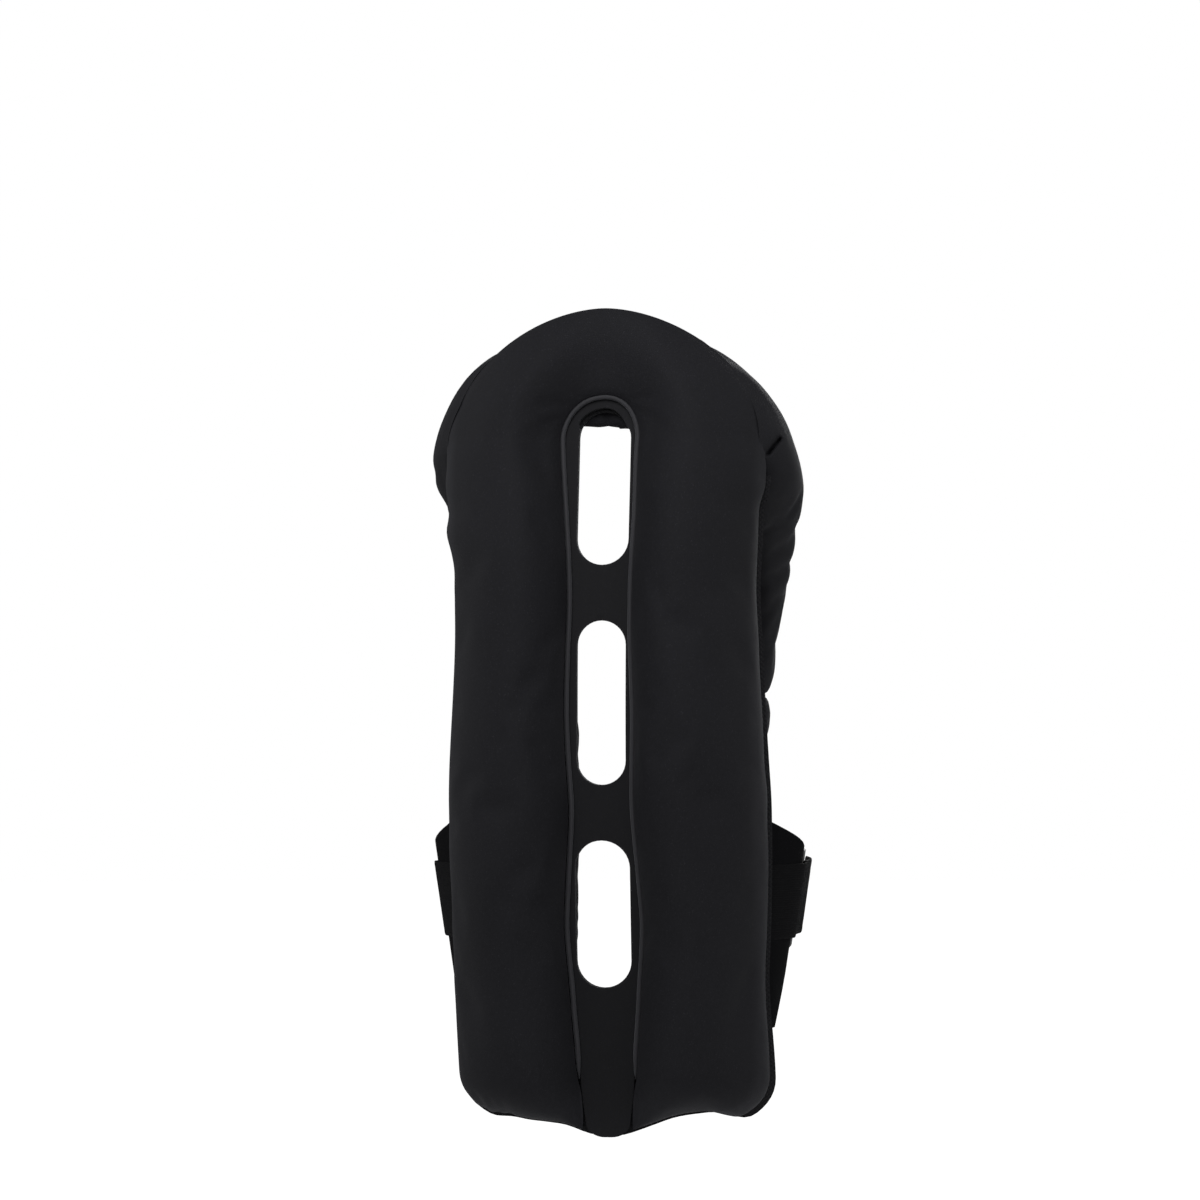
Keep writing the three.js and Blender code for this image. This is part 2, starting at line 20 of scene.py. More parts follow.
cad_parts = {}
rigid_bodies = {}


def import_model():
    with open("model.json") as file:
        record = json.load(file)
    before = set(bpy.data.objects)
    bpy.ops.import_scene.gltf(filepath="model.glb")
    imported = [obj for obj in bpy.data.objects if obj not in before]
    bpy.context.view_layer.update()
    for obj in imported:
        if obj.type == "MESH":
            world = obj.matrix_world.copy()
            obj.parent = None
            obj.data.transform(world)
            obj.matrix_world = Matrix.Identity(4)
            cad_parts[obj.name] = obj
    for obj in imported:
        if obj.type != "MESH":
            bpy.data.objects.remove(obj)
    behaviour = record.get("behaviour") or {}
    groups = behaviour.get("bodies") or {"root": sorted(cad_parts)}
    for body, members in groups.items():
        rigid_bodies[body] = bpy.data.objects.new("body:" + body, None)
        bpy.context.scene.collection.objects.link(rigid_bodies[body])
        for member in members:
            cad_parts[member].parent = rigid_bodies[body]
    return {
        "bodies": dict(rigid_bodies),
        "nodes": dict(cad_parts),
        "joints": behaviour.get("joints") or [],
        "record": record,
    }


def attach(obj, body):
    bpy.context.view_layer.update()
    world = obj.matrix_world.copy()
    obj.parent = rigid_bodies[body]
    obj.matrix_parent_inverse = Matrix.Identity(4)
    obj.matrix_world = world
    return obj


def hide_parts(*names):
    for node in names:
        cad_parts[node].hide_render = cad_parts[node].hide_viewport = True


MM = 0.001
LOG = logging.getLogger("airbag_vest")
Points = np.ndarray
OUTWARD = np.array([0.0, -1.0, 0.0])


class Side(Enum):
    """Side of the vest that a piece is on, as the sign of X."""

    LEFT = -1
    RIGHT = 1

    @property
    def tag(self) -> str:
        """Ending of the names of this side's nodes."""
        return self.name.lower()


class Slot(Enum):
    """Material slots of the record."""

    COVER = "cover"
    PANEL = "panel"
    LINING = "lining"
    WEBBING = "webbing"
    PLASTIC = "plastic"


class Weave(Enum):
    """Ways that a cloth is made, each with a shader group of its own."""

    JERSEY = "jersey_loops"
    PLAIN = "plain_weave"
    MESH = "spacer_mesh"
    RIB = "ribbed_cords"


class Held(Enum):
    """How a sheet is held in its place."""

    LAID = "laid"
    STRETCHED = "stretched"
    FOLDED = "folded"


def round_end(distance: Points, radius: Points | float) -> Points:
    """Quarter-round from 0 at a form's end to 1 at a radius inside it."""
    t = np.clip(1 - np.asarray(distance, float) / radius, 0, 1)
    return np.sqrt(1 - t * t)


def ease(value: Points) -> Points:
    """Smooth step from 0 to 1 over the values 0 to 1."""
    t = np.clip(value, 0, 1)
    return t * t * (3 - 2 * t)


def unit(vectors: Points) -> Points:
    """Vectors of length 1 along the last axis."""
    return vectors / np.maximum(np.linalg.norm(vectors, axis=-1, keepdims=True), 1e-9)


def walked(path: Points) -> Points:
    """Distance from the start of a path to each of its points."""
    return np.concatenate([[0.0], np.linalg.norm(np.diff(path, axis=0), axis=1).cumsum()])


def turns(sides: int) -> Points:
    """Angles of the points of a ring, in radians."""
    return np.linspace(0, 2 * np.pi, sides, endpoint=False)


def rings(path: Points, first: Points, second: Points, radius: Points, sides: int) -> Points:
    """Circles of points along a path, each with two unit vectors across the path and a radius."""
    c, s = np.cos(turns(sides))[:, None], np.sin(turns(sides))[:, None]
    return path[:, None] + (first[:, None] * c + second[:, None] * s) * radius[:, None, None]


def link_object(name: str, data: bpy.types.ID) -> bpy.types.Object:
    """Adds an object with the data given to the scene."""
    obj = bpy.data.objects.new(name, data)
    bpy.context.scene.collection.objects.link(obj)
    return obj


@contextmanager
def edited(mesh: bpy.types.Mesh) -> Iterator[bmesh.types.BMesh]:
    """Opens a mesh for editing and writes it back.

    Args:
        mesh: The mesh.

    Yields:
        The open mesh.
    """
    made = bmesh.new()
    made.from_mesh(mesh)
    yield made
    made.to_mesh(mesh)
    made.free()


@dataclass(frozen=True)
class Table:
    """Smooth curve through a short table, whose first column is the key.

    Attributes:
        rows: Key and values of each row, with keys in rising order.
    """

    rows: tuple[tuple[float, ...], ...]

    def at(self, key: Points | float, column: int = 1) -> Points:
        """Value of a column at a place along the key column.

        Args:
            key: Places along the key column.
            column: Number of the value's column.

        Returns:
            Values with the shape of key.
        """
        table = np.array(self.rows, float)
        keys, values = table[:, 0], table[:, column]
        slope = np.gradient(values, keys)
        slope[1:-1] = (values[2:] - values[:-2]) / (keys[2:] - keys[:-2])
        place = np.clip(np.asarray(key, float), keys[0], keys[-1])
        n = np.clip(np.searchsorted(keys, place), 1, len(keys) - 1)
        span = keys[n] - keys[n - 1]
        t = (place - keys[n - 1]) / span
        rise = values[n] - values[n - 1]
        bend = slope[n - 1] * span * (1 - t) - slope[n] * span * t - rise * (1 - 2 * t)
        return values[n - 1] + rise * t + t * (1 - t) * bend


@dataclass
class Draft:
    """Points, corners of the faces and cloth coordinates of those corners, in millimetres."""

    points: list[Points] = field(default_factory=list)
    faces: list[tuple[int, ...]] = field(default_factory=list)
    uvs: list[tuple[float, float]] = field(default_factory=list)

    def add_points(self, points: Points) -> Points:
        """Adds points.

        Args:
            points: Points in an array of any shape.

        Returns:
            Their numbers, in that shape.
        """
        start = len(self.points)
        flat = np.asarray(points, float).reshape(-1, 3)
        self.points.extend(flat)
        return np.arange(start, start + len(flat)).reshape(np.shape(points)[:-1])

    def add_face(self, corners: Sequence[int], uvs: Sequence[Sequence[float]]) -> None:
        """Adds one face with the cloth coordinates of its corners."""
        self.faces.append(tuple(int(c) for c in corners))
        self.uvs.extend((float(u), float(v)) for u, v in uvs)

    def add_grid(self, grid: Points, closed: bool = False) -> Points:
        """Adds a grid of points and the faces between them.

        Args:
            grid: Points in rows and columns.
            closed: True where the last column joins the first.

        Returns:
            Numbers of the grid's points.
        """
        ids = self.add_points(grid)
        ring = np.concatenate([grid, grid[:, :1]], 1) if closed else grid
        around = np.linalg.norm(np.diff(ring, axis=1), axis=2)
        u = np.concatenate([np.zeros((len(ring), 1)), around.cumsum(1)], 1)
        u -= u.mean(1, keepdims=True)
        along = np.linalg.norm(np.diff(grid, axis=0), axis=2).mean(1)
        v = np.concatenate([[0.0], along.cumsum()])
        columns = ids.shape[1]
        for i in range(len(ids) - 1):
            for k in range(ring.shape[1] - 1):
                far = (k + 1) % columns
                corners = (ids[i, k], ids[i, far], ids[i + 1, far], ids[i + 1, k])
                places = ((i, k), (i, k + 1), (i + 1, k + 1), (i + 1, k))
                uvs = [(u[row, column], v[row]) for row, column in places]
                self.add_face(corners, uvs)
        return ids

    def add_cap(self, ring: Points) -> None:
        """Closes a ring of points with a fan from its middle.

        Args:
            ring: Numbers of the points.
        """
        points = np.array([self.points[n] for n in ring])
        middle = int(self.add_points(points.mean(0)[None])[0])
        flat = points - points.mean(0)
        axes = np.linalg.svd(flat, full_matrices=False)[2][:2]
        uv = flat @ axes.T
        for k in range(len(ring)):
            far = (k + 1) % len(ring)
            self.add_face((ring[k], ring[far], middle), (uv[k], uv[far], (0.0, 0.0)))

    def add_tube(self, grid: Points) -> None:
        """Adds a tube of closed rows and caps its two ends."""
        ids = self.add_grid(grid, closed=True)
        for ring in (ids[0], ids[-1]):
            self.add_cap(ring)

    def add_end(self, ring: Points, columns: int, last: int = -1, depth: float = 2.0) -> None:
        """Closes a flat ring with faces from its first columns to those that end at the last one."""
        for k in range(columns - 1):
            corners = (ring[k], ring[k + 1], ring[last - k - 1], ring[last - k])
            self.add_face(corners, ((k, 0), (k + 1, 0), (k + 1, depth), (k, depth)))

    def to_object(self, name: str, merge: float = 0.002) -> bpy.types.Object:
        """Makes the piece, in metres and with its faces looking out.

        Args:
            name: Name of the piece.
            merge: Points closer than this are joined, in millimetres.

        Returns:
            The new object.
        """
        mesh = bpy.data.meshes.new(name)
        mesh.from_pydata((np.array(self.points) * MM).tolist(), [], self.faces)
        layer = mesh.uv_layers.new(name="cloth")
        layer.data.foreach_set("uv", (np.array(self.uvs, np.float32) * MM).ravel())
        with edited(mesh) as made:
            bmesh.ops.remove_doubles(made, verts=made.verts, dist=merge * MM)
            bmesh.ops.dissolve_degenerate(made, edges=made.edges, dist=merge * MM / 4)
            bmesh.ops.recalc_face_normals(made, faces=made.faces)
        mesh.shade_smooth()
        return link_object(name, mesh)


def coordinates(obj: bpy.types.Object) -> Points:
    """Points of an object's mesh, in metres."""
    flat = np.empty(len(obj.data.vertices) * 3, np.float32)
    obj.data.vertices.foreach_get("co", flat)
    return flat.reshape(-1, 3).astype(float)


def set_coordinates(obj: bpy.types.Object, points: Points) -> None:
    """Moves the points of an object's mesh."""
    obj.data.vertices.foreach_set("co", points.astype(np.float32).ravel())
    obj.data.update()


def apply_modifiers(obj: bpy.types.Object) -> None:
    """Replaces an object's mesh by the one that its modifiers give.

    Args:
        obj: The object.
    """
    bpy.context.view_layer.update()
    evaluated = obj.evaluated_get(bpy.context.evaluated_depsgraph_get())
    mesh = bpy.data.meshes.new_from_object(evaluated)
    old = obj.data
    obj.modifiers.clear()
    obj.data = mesh
    bpy.data.meshes.remove(old)
    mesh.name = obj.name


def subdivide(obj: bpy.types.Object) -> None:
    """Rounds a mesh with a subdivision surface and keeps the result.

    Args:
        obj: Piece to round.
    """
    modifier = obj.modifiers.new("round", "SUBSURF")
    modifier.levels = modifier.render_levels = 1
    modifier.boundary_smooth = "PRESERVE_CORNERS"
    apply_modifiers(obj)
    obj.data.shade_smooth()


def thicken(obj: bpy.types.Object, thickness: float, edge: float) -> None:
    """Makes a sheet of a middle surface and rounds its edges.

    Args:
        obj: Piece whose mesh is the middle of the sheet.
        thickness: Thickness in millimetres.
        edge: Size of the rounded edge in millimetres.
    """
    solid = obj.modifiers.new("thickness", "SOLIDIFY")
    solid.thickness = thickness * MM
    solid.offset = 0
    solid.use_even_offset = True
    rounded = obj.modifiers.new("edge", "BEVEL")
    rounded.width = edge * MM
    rounded.segments = 3
    rounded.limit_method = "ANGLE"
    rounded.angle_limit = math.radians(55)
    apply_modifiers(obj)
    obj.data.shade_smooth()


def smooth_path(points: Points, between: int) -> Points:
    """Centripetal curve through points.

    Args:
        points: Points that the curve passes through.
        between: Steps from one point to the next.

    Returns:
        Points along the curve.
    """
    ends = np.concatenate([[2 * points[0] - points[1]], points, [2 * points[-1] - points[-2]]])
    gaps = np.sqrt(np.linalg.norm(np.diff(ends, axis=0), axis=1))
    t = (np.arange(between) / between)[:, None]
    made = []
    for i in range(1, len(ends) - 2):
        p0, p1, p2, p3 = ends[i - 1:i + 3]
        d0, d1, d2 = gaps[i - 1:i + 2]
        out = ((p1 - p0) / d0 - (p2 - p0) / (d0 + d1) + (p2 - p1) / d1) * d1
        into = ((p2 - p1) / d1 - (p3 - p1) / (d1 + d2) + (p3 - p2) / d2) * d1
        made.append(p1 + out * t + (-3 * p1 + 3 * p2 - 2 * out - into) * t ** 2
                    + (2 * p1 - 2 * p2 + out + into) * t ** 3)
    return np.concatenate([*made, points[-1:]])


def sheet_draft(grid: Points, upper: Points, lower: Points) -> Draft:
    """Closed sheet on a grid of points.

    Args:
        grid: Middle of the sheet.
        upper: Offset of the upper face along the normals, for each column.
        lower: Offset of the lower face.

    Returns:
        The sheet's draft.
    """
    normal = unit(np.cross(np.gradient(grid, axis=0), np.gradient(grid, axis=1)))
    top, under = (grid + normal * offset[None, :, None] for offset in (upper, lower))
    draft = Draft()
    ids = draft.add_grid(np.concatenate([top, under[:, ::-1]], 1), closed=True)
    for ring in (ids[0], ids[-1]):
        draft.add_end(ring, grid.shape[1])
    return draft


@dataclass(frozen=True)
class Inflation:
    """Cloth run that lets gas swell a cover between its seams.

    Attributes:
        cap: Most that a point may move, in millimetres.
        growth: Share by which the cloth is longer than the form, which makes its ripples.
        bending: Stiffness of the cloth against folds.
    """

    pressure: float = 4.0
    frames: int = 20
    cap: float = 5.0
    growth: float = 0.01
    bending: float = 6.0

    def run(self, obj: bpy.types.Object, pins: Points) -> None:
        """Swells an object's mesh and keeps the result.

        Args:
            obj: Cover to swell.
            pins: How firmly each point is held, from 0 to 1.
        """
        start = coordinates(obj)
        group = obj.vertex_groups.new(name="seams")
        for n in np.nonzero(pins > 0)[0]:
            group.add([int(n)], float(pins[n]), "REPLACE")
        modifier = obj.modifiers.new("gas", "CLOTH")
        settings = modifier.settings
        settings.quality = 5
        settings.mass = 0.35
        settings.tension_stiffness = settings.compression_stiffness = 20
        settings.shear_stiffness = 8
        settings.bending_stiffness = self.bending
        settings.use_pressure = True
        settings.uniform_pressure_force = self.pressure
        settings.effector_weights.gravity = 0
        settings.vertex_group_mass = group.name
        settings.pin_stiffness = 1
        settings.shrink_min = -self.growth
        modifier.collision_settings.use_collision = False
        modifier.point_cache.frame_start = 1
        modifier.point_cache.frame_end = self.frames
        scene = bpy.context.scene
        for frame in range(1, self.frames + 1):
            scene.frame_set(frame)
        flat = np.empty(len(start) * 3, np.float32)
        evaluated = obj.evaluated_get(bpy.context.evaluated_depsgraph_get())
        evaluated.data.vertices.foreach_get("co", flat)
        obj.modifiers.remove(modifier)
        obj.vertex_groups.remove(group)
        scene.frame_set(1)
        move = flat.reshape(-1, 3) - start
        length = np.maximum(np.linalg.norm(move, axis=1, keepdims=True), 1e-9)
        set_coordinates(obj, start + move * np.minimum(1, self.cap * MM / length))
        LOG.info("%s: gas moved its cover by up to %.1f mm", obj.name, float(length.max()) / MM)


class NodeGraph:
    """Adds and links the nodes of one shader tree."""

    def __init__(self, tree: bpy.types.NodeTree) -> None:
        """Takes the tree that the nodes go into."""
        self.tree = tree

    def add(self, kind: str, values: dict | None = None, **settings: object) -> bpy.types.Node:
        """Adds a node.

        Args:
            kind: Blender's name of the node.
            values: What goes into its inputs, by name or number: a socket or a constant.
            **settings: The node's own properties.

        Returns:
            The new node.
        """
        node = self.tree.nodes.new(kind)
        for name, value in settings.items():
            setattr(node, name, value)
        for key, value in (values or {}).items():
            if isinstance(value, bpy.types.NodeSocket):
                self.tree.links.new(value, node.inputs[key])
            else:
                node.inputs[key].default_value = value
        return node

    def math(self, operation: str, *values: object) -> bpy.types.NodeSocket:
        """Adds a Math node and returns its result."""
        return self.add("ShaderNodeMath", dict(enumerate(values)), operation=operation).outputs[0]

    def blend(self, share: object, first: object, second: object) -> bpy.types.NodeSocket:
        """Adds a colour Mix node and returns its result."""
        node = self.add("ShaderNodeMix", {0: share, 6: first, 7: second}, data_type="RGBA")
        return node.outputs[2]

    def ranged(self, value: object, low: float, high: float, top: float) -> bpy.types.NodeSocket:
        """Adds a Map Range node, which gives 0 at low and top at high, and returns its result."""
        return self.add("ShaderNodeMapRange", {0: value, 1: low, 2: high, 3: 0.0, 4: top}).outputs[0]

    def noise(self, vector: object, scale: float, detail: float) -> bpy.types.NodeSocket:
        """Adds a Noise node and returns its value."""
        return self.add("ShaderNodeTexNoise", {"Vector": vector, "Scale": scale, "Detail": detail}).outputs[0]


def shader_group(
    name: str, inputs: dict[str, str], outputs: dict[str, str], fill: Callable[[NodeGraph, dict], dict]
) -> bpy.types.NodeTree:
    """Shader node group with named sockets, built once.

    Args:
        name: Name of the group.
        inputs: Kind of each input socket.
        outputs: Kind of each output socket.
        fill: Makes the nodes and gives the socket that feeds each output.

    Returns:
        The group.
    """
    if name in bpy.data.node_groups:
        return bpy.data.node_groups[name]
    tree = bpy.data.node_groups.new(name, "ShaderNodeTree")
    for direction, sockets in (("INPUT", inputs), ("OUTPUT", outputs)):
        for label, kind in sockets.items():
            tree.interface.new_socket(label, in_out=direction, socket_type=kind)
    graph = NodeGraph(tree)
    start = graph.add("NodeGroupInput")
    made = fill(graph, {label: start.outputs[label] for label in inputs})
    graph.add("NodeGroupOutput", made)
    return tree


VECTOR, VALUE, COLOUR = "NodeSocketVector", "NodeSocketFloat", "NodeSocketColor"


def weave_group(weave: Weave) -> bpy.types.NodeTree:
    """Shader group that gives the relief of one kind of cloth.

    Args:
        weave: Kind of cloth.

    Returns:
        Group with the sockets Cloth, Across and Along, threads per metre, and the result Height.
    """

    def fill(graph: NodeGraph, start: dict) -> dict:
        """Makes the relief from two wave trains across and along the cloth."""
        math_ = graph.math
        split = graph.add("ShaderNodeSeparateXYZ", {0: start["Cloth"]})
        u = math_("MULTIPLY", split.outputs[0], start["Across"])
        v = math_("MULTIPLY", split.outputs[1], start["Along"])
        off = math_("ABSOLUTE", math_("SUBTRACT", math_("FRACT", u), 0.5))
        turn = 2 * math.pi

        def train(shape: str) -> bpy.types.NodeSocket:
            """Product of one wave train across the cloth and one along it."""
            return math_("MULTIPLY", *(math_(shape, math_("MULTIPLY", value, turn)) for value in (u, v)))

        if weave is Weave.JERSEY:
            loop = math_("SINE", math_("MULTIPLY", math_("ADD", v, off), turn))
            rib = math_("COSINE", math_("MULTIPLY", off, math.pi))
            height = math_("MULTIPLY_ADD", loop, 0.3, math_("MULTIPLY", rib, 0.6))
        elif weave is Weave.PLAIN:
            height = math_("MULTIPLY_ADD", train("SINE"), 0.4, 0.5)
        elif weave is Weave.MESH:
            hole = math_("SMOOTH_MAX", math_("MULTIPLY", train("COSINE"), 1.6), 0.0, 0.3)
            height = math_("SUBTRACT", 1.0, hole)
        else:
            shift = math_("MULTIPLY", math_("FLOOR", u), 0.5)
            pick = math_("SINE", math_("MULTIPLY", math_("ADD", v, shift), turn))
            cord = math_("COSINE", math_("MULTIPLY", off, math.pi))
            height = math_("MULTIPLY_ADD", pick, 0.22, math_("MULTIPLY", cord, 0.8))
        return {"Height": height}

    sockets = {"Cloth": VECTOR, "Across": VALUE, "Along": VALUE}
    return shader_group(weave.value, sockets, {"Height": VALUE}, fill)


def tone_group() -> bpy.types.NodeTree:
    """Shader group for the uneven dye and lint of dark cloth, its rubbed places, and painted sheen on its lit
    edges.

    Returns:
        Group that gives Color and Roughness from a place, a share of wear and painted sheen, and two colours.
    """

    def fill(graph: NodeGraph, start: dict) -> dict:
        """Makes the colour and the roughness."""
        broad = graph.noise(start["Place"], 9.0, 3.0)
        fine = graph.noise(start["Place"], 420.0, 2.0)
        lint = graph.noise(start["Place"], 1300.0, 0.0)
        dye = graph.math("MULTIPLY_ADD", broad, 0.75, graph.math("MULTIPLY", fine, 0.5))
        share = graph.ranged(dye, 0.4, 0.85, 1.0)
        colour = graph.blend(share, start["Dark"], start["Light"])
        speck = graph.ranged(lint, 0.72, 0.8, 0.35)
        worn = graph.math("MULTIPLY", start["Rub"], graph.math("MULTIPLY_ADD", fine, 0.8, 0.3))
        colour = graph.blend(graph.math("MAXIMUM", speck, worn), colour, start["Worn"])
        rough = graph.math("MULTIPLY_ADD", fine, 0.14, start["Matt"])
        polish = graph.math("MULTIPLY", worn, 0.12)
        return {"Color": colour, "Roughness": graph.math("SUBTRACT", rough, polish)}

    sockets = {"Place": VECTOR, "Rub": VALUE, "Dark": COLOUR, "Light": COLOUR, "Worn": COLOUR, "Matt": VALUE}
    return shader_group("cloth_tone", sockets, {"Color": COLOUR, "Roughness": VALUE}, fill)


def grain_group() -> bpy.types.NodeTree:
    """Shader group for the fine spark grain of moulded plastic.

    Returns:
        Group that gives Height, Roughness and Color from a place and two colours.
    """

    def fill(graph: NodeGraph, start: dict) -> dict:
        """Makes the grain from fine noise, with broad handling marks over it."""
        grain = graph.noise(start["Place"], 2600.0, 2.0)
        marks = graph.noise(start["Place"], 90.0, 4.0)
        rough = graph.math("MULTIPLY_ADD", marks, 0.25, graph.math("MULTIPLY_ADD", grain, 0.1, 0.26))
        scuff = graph.ranged(marks, 0.56, 0.78, 0.8)
        colour = graph.blend(scuff, start["Dark"], start["Light"])
        return {"Height": grain, "Roughness": rough, "Color": colour}

    sockets = {"Place": VECTOR, "Dark": COLOUR, "Light": COLOUR}
    return shader_group("mould_grain", sockets, {"Height": VALUE, "Roughness": VALUE, "Color": COLOUR}, fill)


def shared_material(name: str, fill: Callable[[NodeGraph], bpy.types.NodeSocket]) -> bpy.types.Material:
    """Material built once.

    Args:
        name: Name of the material.
        fill: Makes the nodes and gives the socket of the surface.

    Returns:
        The material.
    """
    if name in bpy.data.materials:
        return bpy.data.materials[name]
    made = bpy.data.materials.new(name)
    made.use_nodes = True
    made.node_tree.nodes.clear()
    graph = NodeGraph(made.node_tree)
    graph.add("ShaderNodeOutputMaterial", {"Surface": fill(graph)})
    return made


CLOTH_TINT = 0.16


def grey(value: float, tint: float = 0.0) -> tuple[float, float, float, float]:
    """Linear colour near grey, a little blue where tint is above 0."""
    return (value, value, value * (1 + tint), 1.0)


@dataclass(frozen=True)
class ClothFinish:
    """Dark cloth.

    Attributes:
        name: Name of the material.
        weave: How the cloth is made.
        dark: Linear grey where the dye is deep.
        light: Linear grey where it is thin.
        worn: Linear grey where it is rubbed, which is also the painted highlight on edges that catch the
            light.
        across: Size of one stitch or thread across the cloth, in millimetres.
        along: Its size along the cloth.
        relief: Depth of the weave, in millimetres.
        matt: Least roughness.
        sheen: Weight of the sheen that loose fibres give at a glancing angle.
        gloss: Specular level.
    """

    name: str
    weave: Weave
    dark: float
    light: float
    worn: float
    across: float
    along: float
    relief: float
    matt: float = 0.72
    sheen: float = 0.0
    gloss: float = 0.0

    def material(self) -> bpy.types.Material:
        """The finish as a material, made once."""

        def fill(graph: NodeGraph) -> bpy.types.NodeSocket:
            """Makes the weave, the tone and the shader."""
            place = graph.add("ShaderNodeTexCoord").outputs["Object"]
            cloth = graph.add("ShaderNodeUVMap", uv_map="cloth").outputs[0]
            rub = graph.add("ShaderNodeAttribute", attribute_name="rub").outputs["Fac"]
            threads = {"Cloth": cloth, "Across": 1 / (self.across * MM), "Along": 1 / (self.along * MM)}
            weave = graph.add("ShaderNodeGroup", threads, node_tree=weave_group(self.weave))
            greys = {"Dark": self.dark, "Light": self.light, "Worn": self.worn}
            colours = {label: grey(value, CLOTH_TINT) for label, value in greys.items()}
            surface = {"Place": place, "Rub": rub, "Matt": self.matt, **colours}
            tone = graph.add("ShaderNodeGroup", surface, node_tree=tone_group())
            bump = graph.add("ShaderNodeBump", {
                "Strength": 0.7, "Distance": self.relief * MM, "Height": weave.outputs["Height"]})
            return graph.add("ShaderNodeBsdfPrincipled", {
                "Base Color": tone.outputs["Color"], "Roughness": tone.outputs["Roughness"],
                "Normal": bump.outputs[0], "Sheen Weight": self.sheen, "Sheen Roughness": 0.45,
                "Sheen Tint": (0.9, 0.92, 1.0, 1.0), "Specular IOR Level": self.gloss}).outputs[0]

        return shared_material(self.name, fill)


@dataclass(frozen=True)
class PlasticFinish:
    """Moulded plastic with a satin surface.

    Attributes:
        name: Name of the material.
        dark: Linear grey of the plastic.
        light: Linear grey of scuffed places.
    """

    name: str
    dark: float
    light: float

    def material(self) -> bpy.types.Material:
        """The finish as a material, made once."""

        def fill(graph: NodeGraph) -> bpy.types.NodeSocket:
            """Makes the grain and the shader."""
            place = graph.add("ShaderNodeTexCoord").outputs["Object"]
            grain = graph.add("ShaderNodeGroup", {
                "Place": place, "Dark": grey(self.dark), "Light": grey(self.light)}, node_tree=grain_group())
            bump = graph.add("ShaderNodeBump", {
                "Strength": 0.25, "Distance": 0.05 * MM, "Height": grain.outputs["Height"]})
            return graph.add("ShaderNodeBsdfPrincipled", {
                "Base Color": grain.outputs["Color"], "Roughness": grain.outputs["Roughness"],
                "Normal": bump.outputs[0], "Specular IOR Level": 0.22}).outputs[0]

        return shared_material(self.name, fill)


COVER_CLOTH = ClothFinish(
    "cover_jersey", Weave.JERSEY, dark=0.009, light=0.012, worn=0.032,
    across=1.1, along=0.9, relief=0.08, sheen=0.015, gloss=0.06)
# The welt's jersey is the cover's, painted lighter as the highlight along the raised piping.
WELT_HIGHLIGHT_CLOTH = ClothFinish(
    "welt_jersey_painted_highlight", Weave.JERSEY, dark=0.013, light=0.017, worn=0.03,
    across=1.1, along=0.9, relief=0.08, sheen=0.12, gloss=0.3)
PANEL_CLOTH = ClothFinish(
    "panel_cloth", Weave.PLAIN, dark=0.0055, light=0.0075, worn=0.018,
    across=1.2, along=1.2, relief=0.08, sheen=0.04, gloss=0.12)
LINING_CLOTH = ClothFinish(
    "lining_mesh", Weave.MESH, dark=0.004, light=0.006, worn=0.015,
    across=3.2, along=3.2, relief=0.5, sheen=0.03, gloss=0.12)
# Wing cloth and webbing are black, with their greys set darker still as painted shade for the wings' sides
# near the buckles.
WING_CLOTH_SHADED = ClothFinish(
    "wing_cloth_painted_shade", Weave.PLAIN, dark=0.003, light=0.0042, worn=0.018,
    across=1.0, along=1.0, relief=0.12, matt=0.9, gloss=0.03)
WEBBING_CLOTH_SHADED = ClothFinish(
    "ribbed_webbing_painted_shade", Weave.RIB, dark=0.0025, light=0.0036, worn=0.01,
    across=1.5, along=1.3, relief=0.3, matt=0.75, gloss=0.04)
THREAD = ClothFinish(
    "sewing_thread", Weave.RIB, dark=0.01, light=0.015, worn=0.03,
    across=0.5, along=0.8, relief=0.1, matt=0.5, sheen=0.05, gloss=0.3)
SATIN_PLASTIC = PlasticFinish("satin_plastic", dark=0.03, light=0.046)


def dress(
    obj: bpy.types.Object, finish: ClothFinish | PlasticFinish, slot: Slot, stands_for: Sequence[str] = ()
) -> bpy.types.Object:
    """Gives a piece its finish and sets it on the frame.

    Args:
        obj: The piece.
        finish: Its finish.
        slot: Slot of the record that the finish belongs to; not used.
        stands_for: CAD nodes that it is shown in place of.

    Returns:
        The piece.
    """
    obj.data.materials.clear()
    obj.data.materials.append(finish.material())
    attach(obj, "root")
    if stands_for:
        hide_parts(*stands_for)
    LOG.info("%s: %d faces in %s", obj.name, len(obj.data.polygons), finish.name)
    return obj


def mark_wear_and_sheen(obj: bpy.types.Object, share: Points) -> None:
    """Stores how far each point of a piece is lightened towards its worn grey, from 0 to 1, for wear and for
    painted sheen.
    """
    layer = obj.data.attributes.new("rub", "FLOAT", "POINT")
    layer.data.foreach_set("value", np.asarray(share, np.float32))


@dataclass(frozen=True)
class Stitching:
    """Row of sewn stitches.

    Attributes:
        pitch: Distance from one stitch to the next, in millimetres.
        length: Length of one stitch.
        radius: Radius of the thread.
        sides: Points round the thread.
    """

    pitch: float = 3.4
    length: float = 2.5
    radius: float = 0.32
    sides: int = 6

    def sew(self, draft: Draft, path: Points, up: Points) -> None:
        """Adds stitches along a path.

        Args:
            draft: Draft that takes them.
            path: Points along the seam, in millimetres.
            up: Unit normal of the cloth.
        """
        distance = walked(path)
        starts = np.arange(self.pitch / 2, distance[-1] - self.length, self.pitch)
        shares = np.array([0.0, 0.12, 0.5, 0.88, 1.0])
        heights = np.array([-0.6, 0.3, 0.75, 0.3, -0.6]) * self.radius
        sizes = np.array([0.45, 0.9, 1.0, 0.9, 0.45]) * self.radius
        for start in starts:
            at = start + shares * self.length
            middle = np.stack([np.interp(at, distance, axis) for axis in path.T], 1)
            across = np.cross(unit(np.gradient(middle, axis=0)), up)
            circles = rings(middle + up * heights[:, None], across, up[None], sizes, self.sides)
            ids = draft.add_grid(circles, closed=True)
            for ring in (ids[0], ids[-1]):
                draft.add_face(ring, [(n * 0.1, 0) for n in range(len(ring))])


